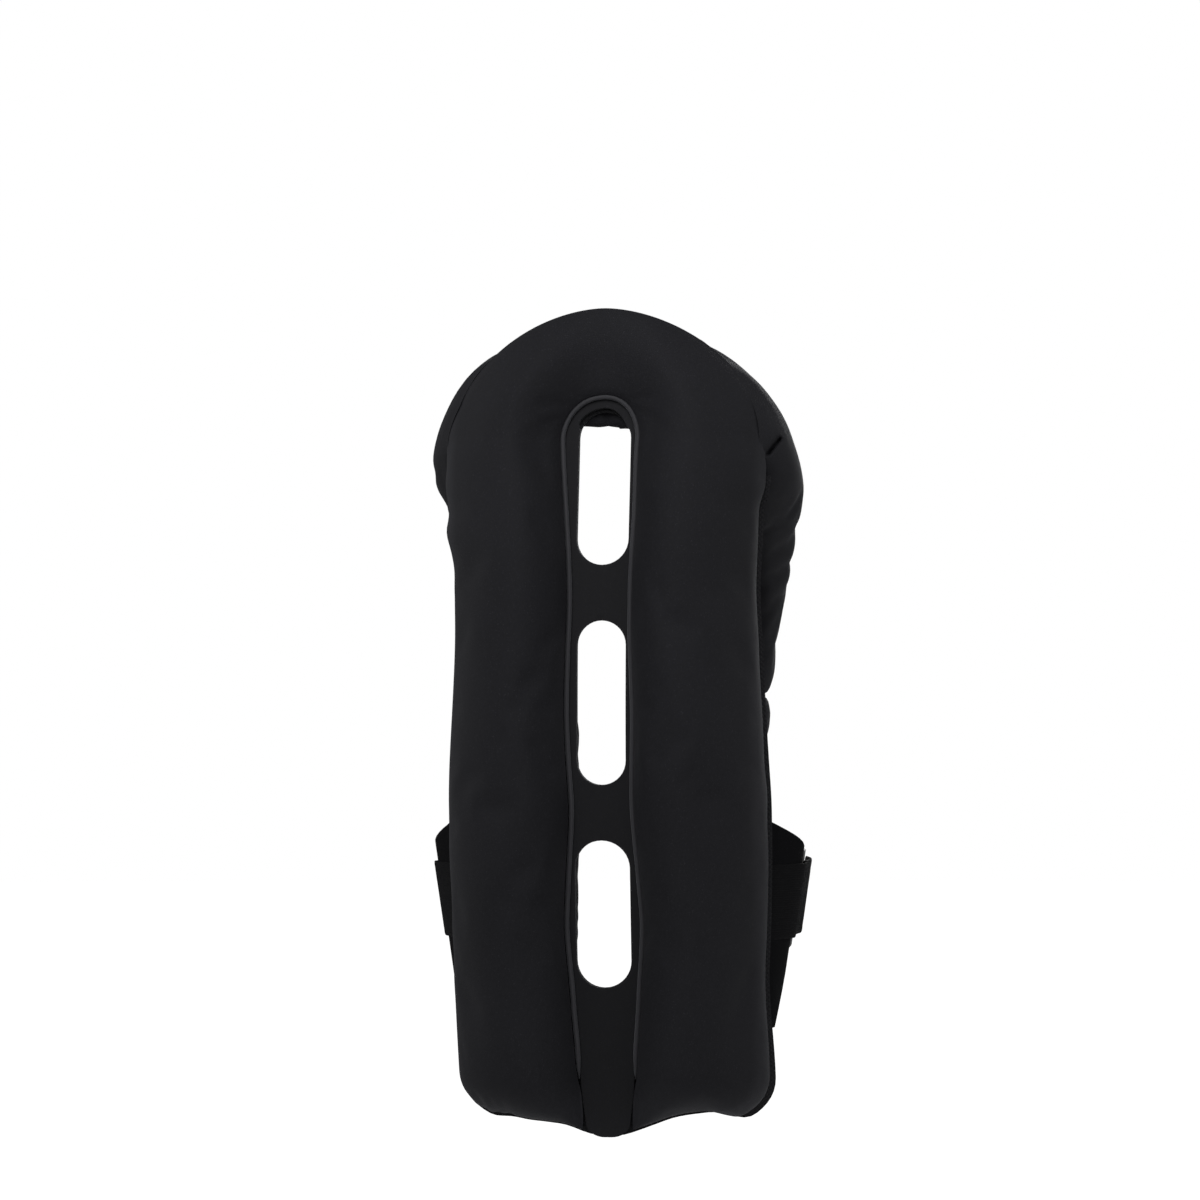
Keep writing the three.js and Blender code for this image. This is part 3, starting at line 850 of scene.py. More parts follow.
@dataclass(frozen=True)
class BackForm:
    """The shared shape of the vest's back, in millimetres.

    Attributes:
        line: Height and depth of the lining's inner face at the middle.
        outline: Height, half width and lobe height of the inflated back.
        channel: Height and half width of the channel between the lobes.
        slots: Top, bottom and half width of the slots in the strip.
        shifts: Height, and how far the left and the right edge stand outside the even outline.
        channel_shifts: Height, and the same for the edges of the channel.
        drops: Place across, and how far the lower edge hangs lower than its even line.
        borders: Height, and how far the lining stands out of the cushion on the left and on the right.
        wrap: How far the back curves round, at the distance wrap_at off the middle.
        top_power: 2 for an oval dome, less for a more pointed one.
        edge_power: How late the cushion falls to its edge.
        round_power: How round it falls there.
        shoulder: Width of the round from the channel up to a lobe.
        landing: How softly the lobes come down to the channel.
        collar_edge: Height of the edge where the cover goes on into the collar.
        collar_bend: How much less round the cushion is there.
        collar_slope: Slope of the collar's cover as it leaves that edge.
        joined_z: Height where the cover begins to go on into the collar.
        joined_fade: Length over which it does.
        saddle: How much lower the cushion is between the lobes, over the arch.
        arch_lift: How much higher the arch stands than its even line.
        sunk: How far the cushion's edge sinks at the channel.
        seat: Room between the lining and what lies on it.
        dip_depth: How far the lower edge hangs down at the middle.
        drop_fade: Height over which drops run out.
    """

    line: Table = Table((
        (-440, -70), (-380, -78), (-300, -90), (-220, -99), (-140, -101), (-60, -95), (0, -84), (50, -75),
        (100, -68)))
    outline: Table = Table((
        (-421, 102, 42), (-345, 103, 45), (-283, 104, 47), (-218, 103, 48),
        (-153, 101.5, 48), (-75, 101, 48), (-30, 102.5, 48), (18, 104, 48)))
    channel: Table = Table((
        (-437, 14), (-406, 17.5), (-380, 18.5), (-348, 21.5), (-302, 25),
        (-270, 23), (-218, 19), (-153, 20.5), (-62, 19.5), (18, 23.5)))
    slots: tuple[tuple[float, float, float], ...] = ((35, -65, 17), (-101, -208, 16), (-244, -341, 18))
    shifts: Table = Table((
        (-421, -3, 3), (-390, -2, 2.8), (-338, -1, .2), (-300, -1.2, 1.2), (-226, .4, 3.2), (-193, .2, 2.4),
        (-121, -2.2, 0), (-81, -1.3, -2), (-61, 0, -2), (-49, 3.8, -2.1), (-42, 4.6, -2.2), (-31, 2.6, -2.4),
        (-24, 3.4, -2), (-15, 5.2, .9), (0, 4.2, .6), (17, 3.4, -.8), (40, 0, 0)))
    channel_shifts: Table = Table((
        (-437, -.4, 1.2), (-375, -.4, 1.7), (-323, -1.6, .8), (-231, -.2, 1.1), (-192, 1.8, 1.1),
        (-114, 1.4, -1), (-88, 1.2, -.7), (-35, 3.2, .1), (10, 4.2, -1.9), (45, 3, -1)))
    drops: Table = Table((
        (-110, 1.8), (-91, 2.6), (-78, 5), (-65, 5.2), (-52, 6.4), (-39, 5.6), (-26, 3.6), (-12, 3.4),
        (0, 2.6), (12, 3.8), (31, 4), (44, 2.5), (57, 1.4), (66, 1), (77, 4), (85, 5.8), (95, 4.6), (110, 4)))
    borders: Table = Table((
        (-425, .3, 3), (-400, .3, 2.6), (-350, .3, 1.5), (-100, .3, 1.2), (4, .3, 1.2), (32, -5, -5)))
    wrap: float = 26
    wrap_at: float = 100
    bottom: float = -421
    top: float = 103
    top_power: float = 1.8
    corner: float = 24
    end_round: float = 30
    arch_z: float = 18
    arch_radius: float = 23.5
    edge: float = 7
    edge_power: float = 3.6
    round_power: float = 2.3
    shoulder: float = 40
    landing: float = 0.9
    collar_edge: float = 15
    collar_bend: float = 1.3
    collar_slope: float = 1.2
    joined_z: float = 3
    joined_fade: float = 14
    saddle: float = 0.68
    saddle_half: float = 37
    saddle_z: float = -18
    saddle_fade: float = 56
    arch_lift: float = 3.3
    sunk: float = 2.5
    sunk_reach: float = 8
    lining: float = 2
    seat: float = 0.8
    panel: float = 3
    dip_depth: float = 13.5
    dip_half: float = 30
    dip_fade: float = 90
    tail: float = -439.5
    tail_round: float = 8
    lining_bottom: float = -422.6
    lining_top: float = 78
    drop_fade: float = 45

    def surface(self, x: Points, z: Points) -> Points:
        """Depth of the lining's inner face."""
        return self.line.at(z) + self.wrap * (np.asarray(x, float) / self.wrap_at) ** 2

    def place(self, x: Points, z: Points, out: Points) -> Points:
        """Points at a place across and up the back, and a distance out of the lining's inner face."""
        x, z, out = np.broadcast_arrays(np.asarray(x, float), np.asarray(z, float), np.asarray(out, float))
        return np.stack([x, self.surface(x, z) - out, z], -1)

    def dip(self, x: Points, z: Points) -> Points:
        """How far the lower edge hangs below its straight line."""
        up = z - self.bottom
        point = self.dip_depth * np.exp(-((up / self.dip_fade) ** 2) - (x / self.dip_half) ** 2)
        return point + self.drops.at(x) * np.exp(-((up / self.drop_fade) ** 2))

    def warp(self, x: Points, z: Points) -> tuple[Points, Points]:
        """Places in the plane of the back after the channel's unevenness, which leaves the slots alone.

        Args:
            x: Places across the even back.
            z: Places up it.

        Returns:
            The uneven places.
        """
        size = np.maximum(np.hypot(x, np.maximum(z - self.arch_z, 0)), 1e-6)
        near = ease((size - self.slot_half(z) - 0.5) / 2.5) * (1 - ease((size - 30) / 45))
        grow = np.where(x < 0, self.channel_shifts.at(z, 1), self.channel_shifts.at(z, 2))
        return x + x / size * grow * near, z + self.arch_lift * ease((z - self.arch_z) / 24) * near

    def half(self, z: Points) -> Points:
        """Half width below the dome: square at the bottom with round corners."""
        return self.outline.at(z) - self.corner * (1 - round_end(z - self.bottom, self.corner))

    def narrow(self, rise: Points) -> Points:
        """Share of the half width that the dome has left at a share of its height."""
        rise = np.clip(rise, 0, 1)
        return (1 - rise ** self.top_power) ** (1 / self.top_power)

    def channel_half(self, z: Points, grow: float = 0.0) -> Points:
        """Half width of the channel, which closes in an arch."""
        arch = np.sqrt(np.maximum((self.arch_radius + grow) ** 2 - (z - self.arch_z) ** 2, 0))
        return np.where(z <= self.arch_z, self.channel.at(z) + grow, arch)

    def height(self, x: Points, z: Points) -> Points:
        """Height of the inflated back above the lining.

        Args:
            x: Places across the even back.
            z: Places up it.

        Returns:
            Heights in millimetres.
        """
        x = np.abs(x)
        rise = np.maximum(z - self.arch_z, 0)
        dome = np.minimum(self.dome(x, z), 1)
        joined = self.joined(z)
        edge = (1 - dome ** self.edge_power) ** (1 / (self.round_power - self.collar_bend * joined))
        clear = np.where(rise > 0, np.hypot(x, rise) - self.arch_radius, x - self.channel_half(z))
        over = np.exp(-((x / self.saddle_half) ** 2)) * ease((z - self.saddle_z) / self.saddle_fade)
        shoulder = self.shoulder * (1 + self.saddle * over)
        side = round_end(clear, shoulder) ** (2 * self.landing) * round_end(z - self.bottom, self.end_round)
        rim = self.edge + (self.collar_edge - self.edge) * joined * ease(2 * dome - 1)
        rim = rim - self.sunk * np.clip(1 - clear / self.sunk_reach, 0, 1) ** 2
        return rim + (self.outline.at(z, 2) - rim) * edge * side * (1 - self.saddle * over)

    def dome(self, x: Points, z: Points) -> Points:
        """Place between the middle, 0, and the outline, 1."""
        power = self.top_power
        rise = np.maximum(z - self.arch_z, 0) / (self.top - self.arch_z)
        return ((np.abs(x) / np.maximum(self.half(z), 1)) ** power + rise ** power) ** (1 / power)

    def joined(self, z: Points) -> Points:
        """1 at the heights where the cover goes on into the collar, 0 below them."""
        return ease((np.asarray(z, float) - self.joined_z) / self.joined_fade)

    def shift(self, x: Points, z: Points) -> Points:
        """How far the edge stands outside the even outline, on the side that x is on."""
        return np.where(np.asarray(x) < 0, self.shifts.at(z, 1), self.shifts.at(z, 2))

    def slot_half(self, z: Points) -> Points:
        """Half width of the slots at a height, and 0 between them."""
        total = np.zeros_like(np.asarray(z, float))
        for top, bottom, half in self.slots:
            from_end = np.minimum(top - z, z - bottom)
            total = np.maximum(total, np.where(from_end > 0, half * round_end(from_end, half), 0))
        return total

    def levels(self, low: float, high: float) -> Points:
        """Heights of the rows of a sheet, close together at the slots' round ends.

        Args:
            low: Height of the lowest row.
            high: Height of the top row.

        Returns:
            Heights in rising order.
        """
        made = []
        edge = low
        turn = 1 - np.cos(np.linspace(0, np.pi / 2, 10))
        for top, bottom, half in sorted(self.slots, key=lambda slot: slot[1]):
            made += [np.linspace(edge, bottom, 8)[:-1], bottom + half * turn[:-1],
                     np.linspace(bottom + half, top - half, 8), top - half * turn[::-1][1:]]
            edge = top
        made.append(np.linspace(edge, high, 8)[1:])
        return np.concatenate(made)


@dataclass(frozen=True)
class Ripple:
    """Small waves along the sewn edge of a lobe.

    Attributes:
        side: Side of the lobe.
        z: Height of their middle, in millimetres.
        reach: Half the length that they take.
        pitch: Length of one wave.
        depth: How far they pull the edge in.
    """

    side: Side
    z: float
    reach: float
    pitch: float
    depth: float


@dataclass(frozen=True)
class Crease:
    """Line pressed into a cover from behind the vest.

    Attributes:
        start: X and Z of one end, in millimetres.
        end: X and Z of the other end.
        width: Half its width.
        depth: Its depth at the middle.
    """

    start: tuple[float, float]
    end: tuple[float, float]
    width: float
    depth: float

    def press(self, points: Points) -> Points:
        """How far each point is pressed in.

        Args:
            points: Points in rows of X, Y and Z.

        Returns:
            Distances along Y.
        """
        first, last = np.array(self.start), np.array(self.end)
        way = last - first
        flat = points[:, [0, 2]] - first
        share = np.clip(flat @ way / (way @ way), 0, 1)
        off = np.linalg.norm(flat - share[:, None] * way, axis=1)
        return self.depth * np.exp(-((off / self.width) ** 2)) * ease(4 * np.minimum(share, 1 - share) + 0.1)


@dataclass
class BackCushion:
    """The inflated back: two lobes joined over an arch at the top.

    Attributes:
        insets: Height, and how far the sewn edge stands back from the channel to leave room for the welt.
        ripples: Waves along its edges.
        creases: Soft lines that run up from the right shoulder.
        pucker_x: Place across that the gathers spread from.
        pucker_middle: Distance from there to the middle of the gathers.
        base_in: How far the underside stands back at the channel, and at both its edges together.
        tuck_share: Share of its height that the last section keeps at a lower end.
        tuck_up: How far the last section lies above the end.
    """

    form: BackForm
    insets: Table = Table(((-424, 0.7), (-412, -1.2), (-399, -1.3), (-386, 1.5), (18, 1.5)))
    columns: int = 30
    lobe_rows: int = 64
    arch_rows: int = 56
    ripples: tuple[Ripple, ...] = (
        Ripple(Side.LEFT, -40, 40, 16, 0.7),
        Ripple(Side.LEFT, -290, 60, 44, 0.6),
        Ripple(Side.RIGHT, -16, 22, 15, 0.7),
        Ripple(Side.RIGHT, -200, 80, 52, 0.6),
    )
    creases: tuple[Crease, ...] = (
        Crease((79, 60), (103, 18), 2.6, 0.8),
        Crease((91, 50), (105, 20), 2.2, 0.7),
        Crease((66, 66), (96, 30), 4.0, 0.5),
    )
    pucker_depth: float = 2.4
    pucker_pitch: float = 9.5
    pucker_x: float = -104
    pucker_middle: float = 26
    pucker_half: float = 20
    pucker_height: float = 22
    base_in: tuple[float, float] = (1.2, 3.6)
    tuck_share: float = 0.25
    tuck_up: float = 1.8

    def rows(self) -> tuple[Points, Points]:
        """Places of the channel's edge and of the outline, row by row.

        Returns:
            Two arrays of X and Z, up the right lobe, round the arch and down the left one.
        """
        f = self.form
        ends = f.bottom + f.end_round * (1 - np.cos(np.linspace(0, np.pi / 2, 13)))
        z = np.concatenate([ends, np.linspace(ends[-1], f.arch_z, self.lobe_rows)[1:]])
        inner = np.stack([f.channel_half(z) + self.insets.at(z), z], 1)
        outer = np.stack([f.half(z), z], 1)
        angle = np.linspace(0, np.pi, self.arch_rows)[1:-1]
        c, s = np.cos(angle), np.sin(angle)
        middle = np.array([0, f.arch_z])
        arch_in = middle + np.stack([c, s], 1) * (f.arch_radius + float(self.insets.at(f.arch_z)))
        bend = np.stack([np.sign(c) * np.abs(c) ** (2 / f.top_power), s ** (2 / f.top_power)], 1)
        arch_out = middle + bend * np.array([float(f.half(np.array(f.arch_z))), f.top - f.arch_z])
        flip = np.array([-1, 1])
        return (np.concatenate([inner, arch_in, inner[::-1] * flip]),
                np.concatenate([outer, arch_out, outer[::-1] * flip]))

    def pull(self, x: Points, z: Points, share: Points) -> Points:
        """How far the ripples pull the edge in.

        Args:
            x: Places across the back.
            z: Places up the back.
            share: Share of the way from the channel to the outline.

        Returns:
            Distances in millimetres.
        """
        total = np.zeros_like(x)
        for ripple in self.ripples:
            window = np.exp(-(((z - ripple.z) / ripple.reach) ** 4))
            wave = 0.5 + 0.5 * np.sin(2 * np.pi * (z - ripple.z) / ripple.pitch + np.sin(z / 17.0))
            total += np.where(np.sign(x) == ripple.side.value, ripple.depth * window * wave, 0)
        return total * ease((share - 0.6) / 0.4) - self.form.shift(x, z) * ease((share - 0.3) / 0.7)

    def gather(self, x: Points, z: Points) -> Points:
        """How far the gathers at the lower left corner lift the lower edge.

        Args:
            x: Places across the back.
            z: Places up it.

        Returns:
            Distances in millimetres.
        """
        f = self.form
        place = np.hypot(x - self.pucker_x, z - f.bottom)
        low = ease((f.bottom + self.pucker_height - z) / self.pucker_height)
        window = np.exp(-(((place - self.pucker_middle) / self.pucker_half) ** 4)) * low * (x < 0)
        wave = 0.5 + 0.5 * np.sin(2 * np.pi * place / self.pucker_pitch + 0.7 * np.sin(place / 5))
        return self.pucker_depth * window * wave

    def loops(self) -> tuple[Points, Points]:
        """Closed sections of the cushion and how firmly their points are sewn.

        Returns:
            Points in rows and columns, and a pin weight for each.
        """
        f = self.form
        inner, outer = self.rows()
        share = 0.5 - 0.5 * np.cos(np.pi * np.linspace(0, 1, self.columns + 1))
        reach = outer - inner
        way = unit(reach)

        def section(at: Points, height: Points, pulled: Points) -> Points:
            """Points of one run round the section at places in the plane of the back."""
            flat = at - way[:, None] * pulled[..., None]
            x, z = f.warp(flat[..., 0], flat[..., 1])
            down = z - f.dip(x, z) + self.gather(x, z)
            return f.place(x, down, f.lining + f.seat + height)

        plane = inner[:, None] + reach[:, None] * share[None, :, None]
        high = f.height(plane[..., 0], plane[..., 1])
        pulled = self.pull(plane[..., 0], plane[..., 1], np.broadcast_to(share, high.shape))
        front = section(plane, high, pulled)
        wall, tuck = np.array([0.72, 0.38, 0.12]), np.array([0.15, 0.9, 2.0])
        sides = outer[:, None] - way[:, None] * tuck[None, :, None]
        outer_wall = section(sides, high[:, -1:] * wall[None], np.repeat(pulled[:, -1:], 3, 1))
        near, both = self.base_in
        base = (inner + way * near)[:, None] + (reach - way * both)[:, None] * share[::-1][None, :, None]
        back = section(base, np.zeros_like(high), pulled[:, ::-1])
        lift, tuck = np.array([0.1, 0.4, 0.75]), np.array([0.9, 0.4, 0.1])
        insides = inner[:, None] + way[:, None] * tuck[None, :, None]
        inner_wall = section(insides, high[:, :1] * lift[None], np.zeros((len(inner), 3)))
        loops = np.concatenate([front, outer_wall, back, inner_wall], 1)
        pins = np.ones(loops.shape[:2])
        seam_in, seam_out = 0.08, 0.06
        free = ease(share / seam_in) * ease((1 - share) / seam_out)
        pins[:, :self.columns + 1] = 1 - free
        pins[:3] = pins[-3:] = 1
        return self.tucked(loops), np.concatenate([pins[:1], pins, pins[-1:]])

    def tucked(self, loops: Points) -> Points:
        """Adds a last section at each lower end, drawn in to the seam.

        Args:
            loops: Sections of the cushion.

        Returns:
            The sections with one more at each end.
        """
        f = self.form
        made = []
        for ring in (loops[0], loops[-1]):
            end = ring.copy()
            back = f.surface(end[:, 0], end[:, 2]) - f.lining - f.seat
            end[:, 1] = back + (end[:, 1] - back) * self.tuck_share
            end[:, 2] += self.tuck_up
            made.append(end)
        return np.concatenate([made[:1], loops, made[1:]])

    def build(self) -> bpy.types.Object:
        """Makes the cushion, swells it and rounds it."""
        loops, pins = self.loops()
        n = self.columns
        draft = Draft()
        ids = draft.add_grid(loops, closed=True)
        for ring in (ids[0], ids[-1]):
            draft.add_end(ring, n + 1, 2 * n + 4, 3.0)
            draft.add_face(ring[n:n + 5], [(i, 0) for i in range(5)])
            draft.add_face([*ring[2 * n + 4:], ring[0]], [(i, 0) for i in range(5)])
        obj = draft.to_object("inflated_back", merge=0.0005)
        Inflation(cap=4.0, growth=0.004).run(obj, pins.ravel())
        subdivide(obj)
        points = coordinates(obj) / MM
        points[:, 1] += sum(crease.press(points) for crease in self.creases)
        set_coordinates(obj, points * MM)
        x, z = points[:, 0], points[:, 2]
        outside = np.abs(x) / np.maximum(self.form.half(np.minimum(z, self.form.arch_z)), 1)
        low = ease((self.form.bottom + 26 - z) / 30)
        # Painted sheen: a band along the outer edge is lightened as if it caught glancing light. The lower
        # edge is made lighter too.
        mark_wear_and_sheen(obj, 0.3 * ease((outside - 0.93) / 0.07) + 0.25 * low)
        return obj

    def dress(self) -> None:
        """Makes the cushion and sets it on the frame."""
        obj = dress(self.build(), COVER_CLOTH, Slot.COVER, ["back_cushion"])


@dataclass
class ChannelWelt:
    """Piped welt along the edge of the channel.

    Attributes:
        fade: Length over which an end runs out.
        beside: How far its middle lies outside the channel's edge.
    """

    form: BackForm
    radius: float = 1.65
    sides: int = 12
    low: float = -401
    fade: float = 14
    beside: float = 0.15

    def path(self) -> Points:
        """Middle line of the piping, up the right side, round the arch and down the left side."""
        f = self.form
        z = np.linspace(self.low, f.arch_z, 110)
        angle = np.linspace(0, np.pi, 42)[1:-1]
        side = f.channel_half(z) + self.beside
        radius = f.arch_radius + self.beside
        x = np.concatenate([side, radius * np.cos(angle), -side[::-1]])
        up = np.concatenate([z, f.arch_z + radius * np.sin(angle), z[::-1]])
        return f.place(*f.warp(x, up), f.lining + f.seat + f.panel + self.radius)

    def dress(self) -> None:
        """Makes the piping and sets it on the frame."""
        path = self.path()
        distance = walked(path)
        taper = np.sqrt(np.clip(np.minimum(distance, distance[-1] - distance) / self.fade, 0.02, 1))
        sunk = path.copy()
        sunk[:, 1] += self.radius * (1 - taper)
        along = unit(np.gradient(sunk, axis=0))
        first = unit(np.cross(along, OUTWARD))
        draft = Draft()
        draft.add_tube(rings(sunk, first, np.cross(along, first), self.radius * taper, self.sides))
        obj = draft.to_object("channel_welt")
        # Painted highlight: the whole piping is lightened a quarter of the way towards its worn grey.
        mark_wear_and_sheen(obj, np.full(len(obj.data.vertices), 0.25))
        dress(obj, WELT_HIGHLIGHT_CLOTH, Slot.COVER)


@dataclass
class SlottedSheet:
    """Sheet of the back with slots through it.

    Attributes:
        steps: Columns from a slot's edge to the sheet's edge.
    """

    form: BackForm
    steps: int = 10

    def grid(self, levels: Points, half: Points) -> tuple[Points, Points]:
        """Places of the sheet's columns on its left and on its right.

        Args:
            levels: Heights of its rows.
            half: Half width of each row.

        Returns:
            X and Z of the left part and of the right part.
        """
        share = np.sin(np.linspace(0, np.pi / 2, self.steps + 1))
        slot = np.minimum(self.form.slot_half(levels), half)
        x = slot[:, None] + (half - slot)[:, None] * share[None]
        z = np.broadcast_to(levels[:, None], x.shape)
        return np.stack([-x, z], -1), np.stack([x, z], -1)


@dataclass
class SpinePanel(SlottedSheet):
    """Flat strip between the lobes, with three slots and a round tail."""

    def dress(self) -> None:
        """Makes the strip and sets it on the frame."""
        f = self.form
        tail = f.tail + f.tail_round * (1 - np.cos(np.linspace(0, np.pi / 2, 9)))
        arch = f.arch_z + (f.arch_radius - f.seat) * np.sin(np.linspace(0.4, 0.499, 8) * np.pi)
        levels = np.concatenate([tail[:-1], f.levels(tail[-1], arch[0]), arch[1:]])
        half = f.channel_half(levels, -f.seat) * (0.15 + 0.85 * round_end(levels - f.tail, f.tail_round))
        draft = Draft()
        for part in self.grid(levels, half):
            x, z = part[..., 0], part[..., 1]
            draft.add_grid(f.place(*f.warp(x, z), f.lining + f.seat + f.panel / 2))
        obj = draft.to_object("spine_strip")
        thicken(obj, f.panel, 0.9)
        points = coordinates(obj) / MM
        slot = f.slot_half(points[:, 2])
        near = np.where(slot > 0, np.abs(np.abs(points[:, 0]) - slot), 9)
        # Lighter along the slots' edges and towards the tail.
        mark_wear_and_sheen(obj, 0.12 * ease(1 - near / 2.5) + 0.1 * ease((f.tail + 18 - points[:, 2]) / 18))
        dress(obj, PANEL_CLOTH, Slot.PANEL, ["spine_panel"])


@dataclass
class BackLining(SlottedSheet):
    """Mesh lining on the inside of the back, with a hem round it.

    Attributes:
        hem: Distance of the hem's stitches from the edge, in millimetres.
        slot_hem: Their distance from the edge of a slot.
        sewn: Place of the stitches out of the lining's inner face, below 0 on its inside.
        curved: Length along the curved lining for each length across it.
        even_half: Half width of the part round the slots that stays even.
        even_low: Height of that part's lower end.
    """

    steps: int = 22
    hem: float = 4.5
    slot_hem: float = 3
    sewn: float = -0.05
    curved: float = 1.03
    even_half: float = 40
    even_low: float = -346

    def half(self, z: Points) -> Points:
        """Half width of the lining at a height."""
        f = self.form
        shift = f.lining_bottom - f.bottom
        return f.half(z - shift) * f.narrow((z - f.arch_z) / (f.top - f.arch_z))

    def spread(self, x: Points, z: Points) -> Points:
        """Places across after the shift of the edges, which leaves the slots as they are."""
        f = self.form
        border = np.where(x < 0, f.borders.at(z, 1), f.borders.at(z, 2))
        return x + np.sign(x) * (f.shift(x, z) + border) * ease((np.abs(x) - self.even_half) / 50)

    def lowered(self, x: Points, z: Points) -> Points:
        """Heights after the dip of the lower edge, which leaves the slots as they are."""
        return z - self.form.dip(x, z) * ease((self.even_low - z) / 60)

    def dress(self) -> None:
        """Makes the lining and its hem and sets them on the frame."""
        f = self.form
        corner = f.lining_bottom + f.corner * (1 - np.cos(np.linspace(0, np.pi / 2, 10)))
        levels = np.concatenate([corner[:-1], f.levels(corner[-1], f.lining_top)])
        half = self.half(levels)
        draft = Draft()
        for part in self.grid(levels, half):
            x, z = part[..., 0], part[..., 1]
            draft.add_grid(f.place(self.spread(x, z), self.lowered(x, z), f.lining / 2))
        obj = draft.to_object("mesh_lining")
        thicken(obj, f.lining - 0.1, 0.7)
        points = coordinates(obj) / MM
        outside = self.half(points[:, 2]) + f.shift(points[:, 0], points[:, 2]) - np.abs(points[:, 0])
        # Lighter in a band along the outer edge.
        mark_wear_and_sheen(obj, 0.5 * ease(1 - outside / 3))
        dress(obj, LINING_CLOTH, Slot.LINING, ["back_lining"])
        self.sew(levels)

    def slot_line(self, top: float, bottom: float, half: float) -> Points:
        """Line of stitches round a slot.

        Args:
            top: Height of the slot's upper end.
            bottom: Height of its lower end.
            half: Its half width.

        Returns:
            Points of the line.
        """
        turn = np.linspace(0, np.pi, 24)
        radius = half + self.slot_hem
        x = np.concatenate([radius * np.cos(turn), -radius * np.cos(turn), [radius]])
        high, low = top - half, bottom + half
        z = np.concatenate([high + radius * np.sin(turn), low - radius * np.sin(turn), [high]])
        return self.form.place(x, z, self.sewn)

    def sew(self, levels: Points) -> None:
        """Sews the hem and the slots' edges on the inner face.

        Args:
            levels: Heights of the lining's rows.
        """
        f = self.form
        rows = levels[np.concatenate([[True], np.diff(levels) > 0.4])]
        side = self.half(rows) - self.hem
        over = np.linspace(side[-1], -side[-1], 40)[1:-1]
        under = np.linspace(-side[0], side[0], 60)[1:]
        x = np.concatenate([side, over, -side[::-1], under])
        low, high = rows[0] + self.hem, rows[-1] - self.hem
        rise = np.clip(rows, low, high)
        z = np.concatenate([rise, np.full(len(over), high), rise[::-1], np.full(len(under), low)])
        path = f.place(self.spread(x, z), self.lowered(x, z), self.sewn)
        draft = Draft()
        for line in (path, *(self.slot_line(*slot) for slot in f.slots)):
            Stitching().sew(draft, line, -OUTWARD)
        dress(draft.to_object("lining_stitches", merge=0.0001), THREAD, Slot.LINING)


@dataclass(frozen=True)
class Fold:
    """Pressed-in crease of a roll.

    Attributes:
        row: Row of the roll's table.
        angle: Place round the section, in degrees from its inner edge over its face.
        rows: Half its length, in rows.
        degrees: Half its width.
        depth: Depth in millimetres.
        slant: Degrees that it turns over one row.
    """

    row: float
    angle: float
    rows: float
    degrees: float
    depth: float
    slant: float = 0.0


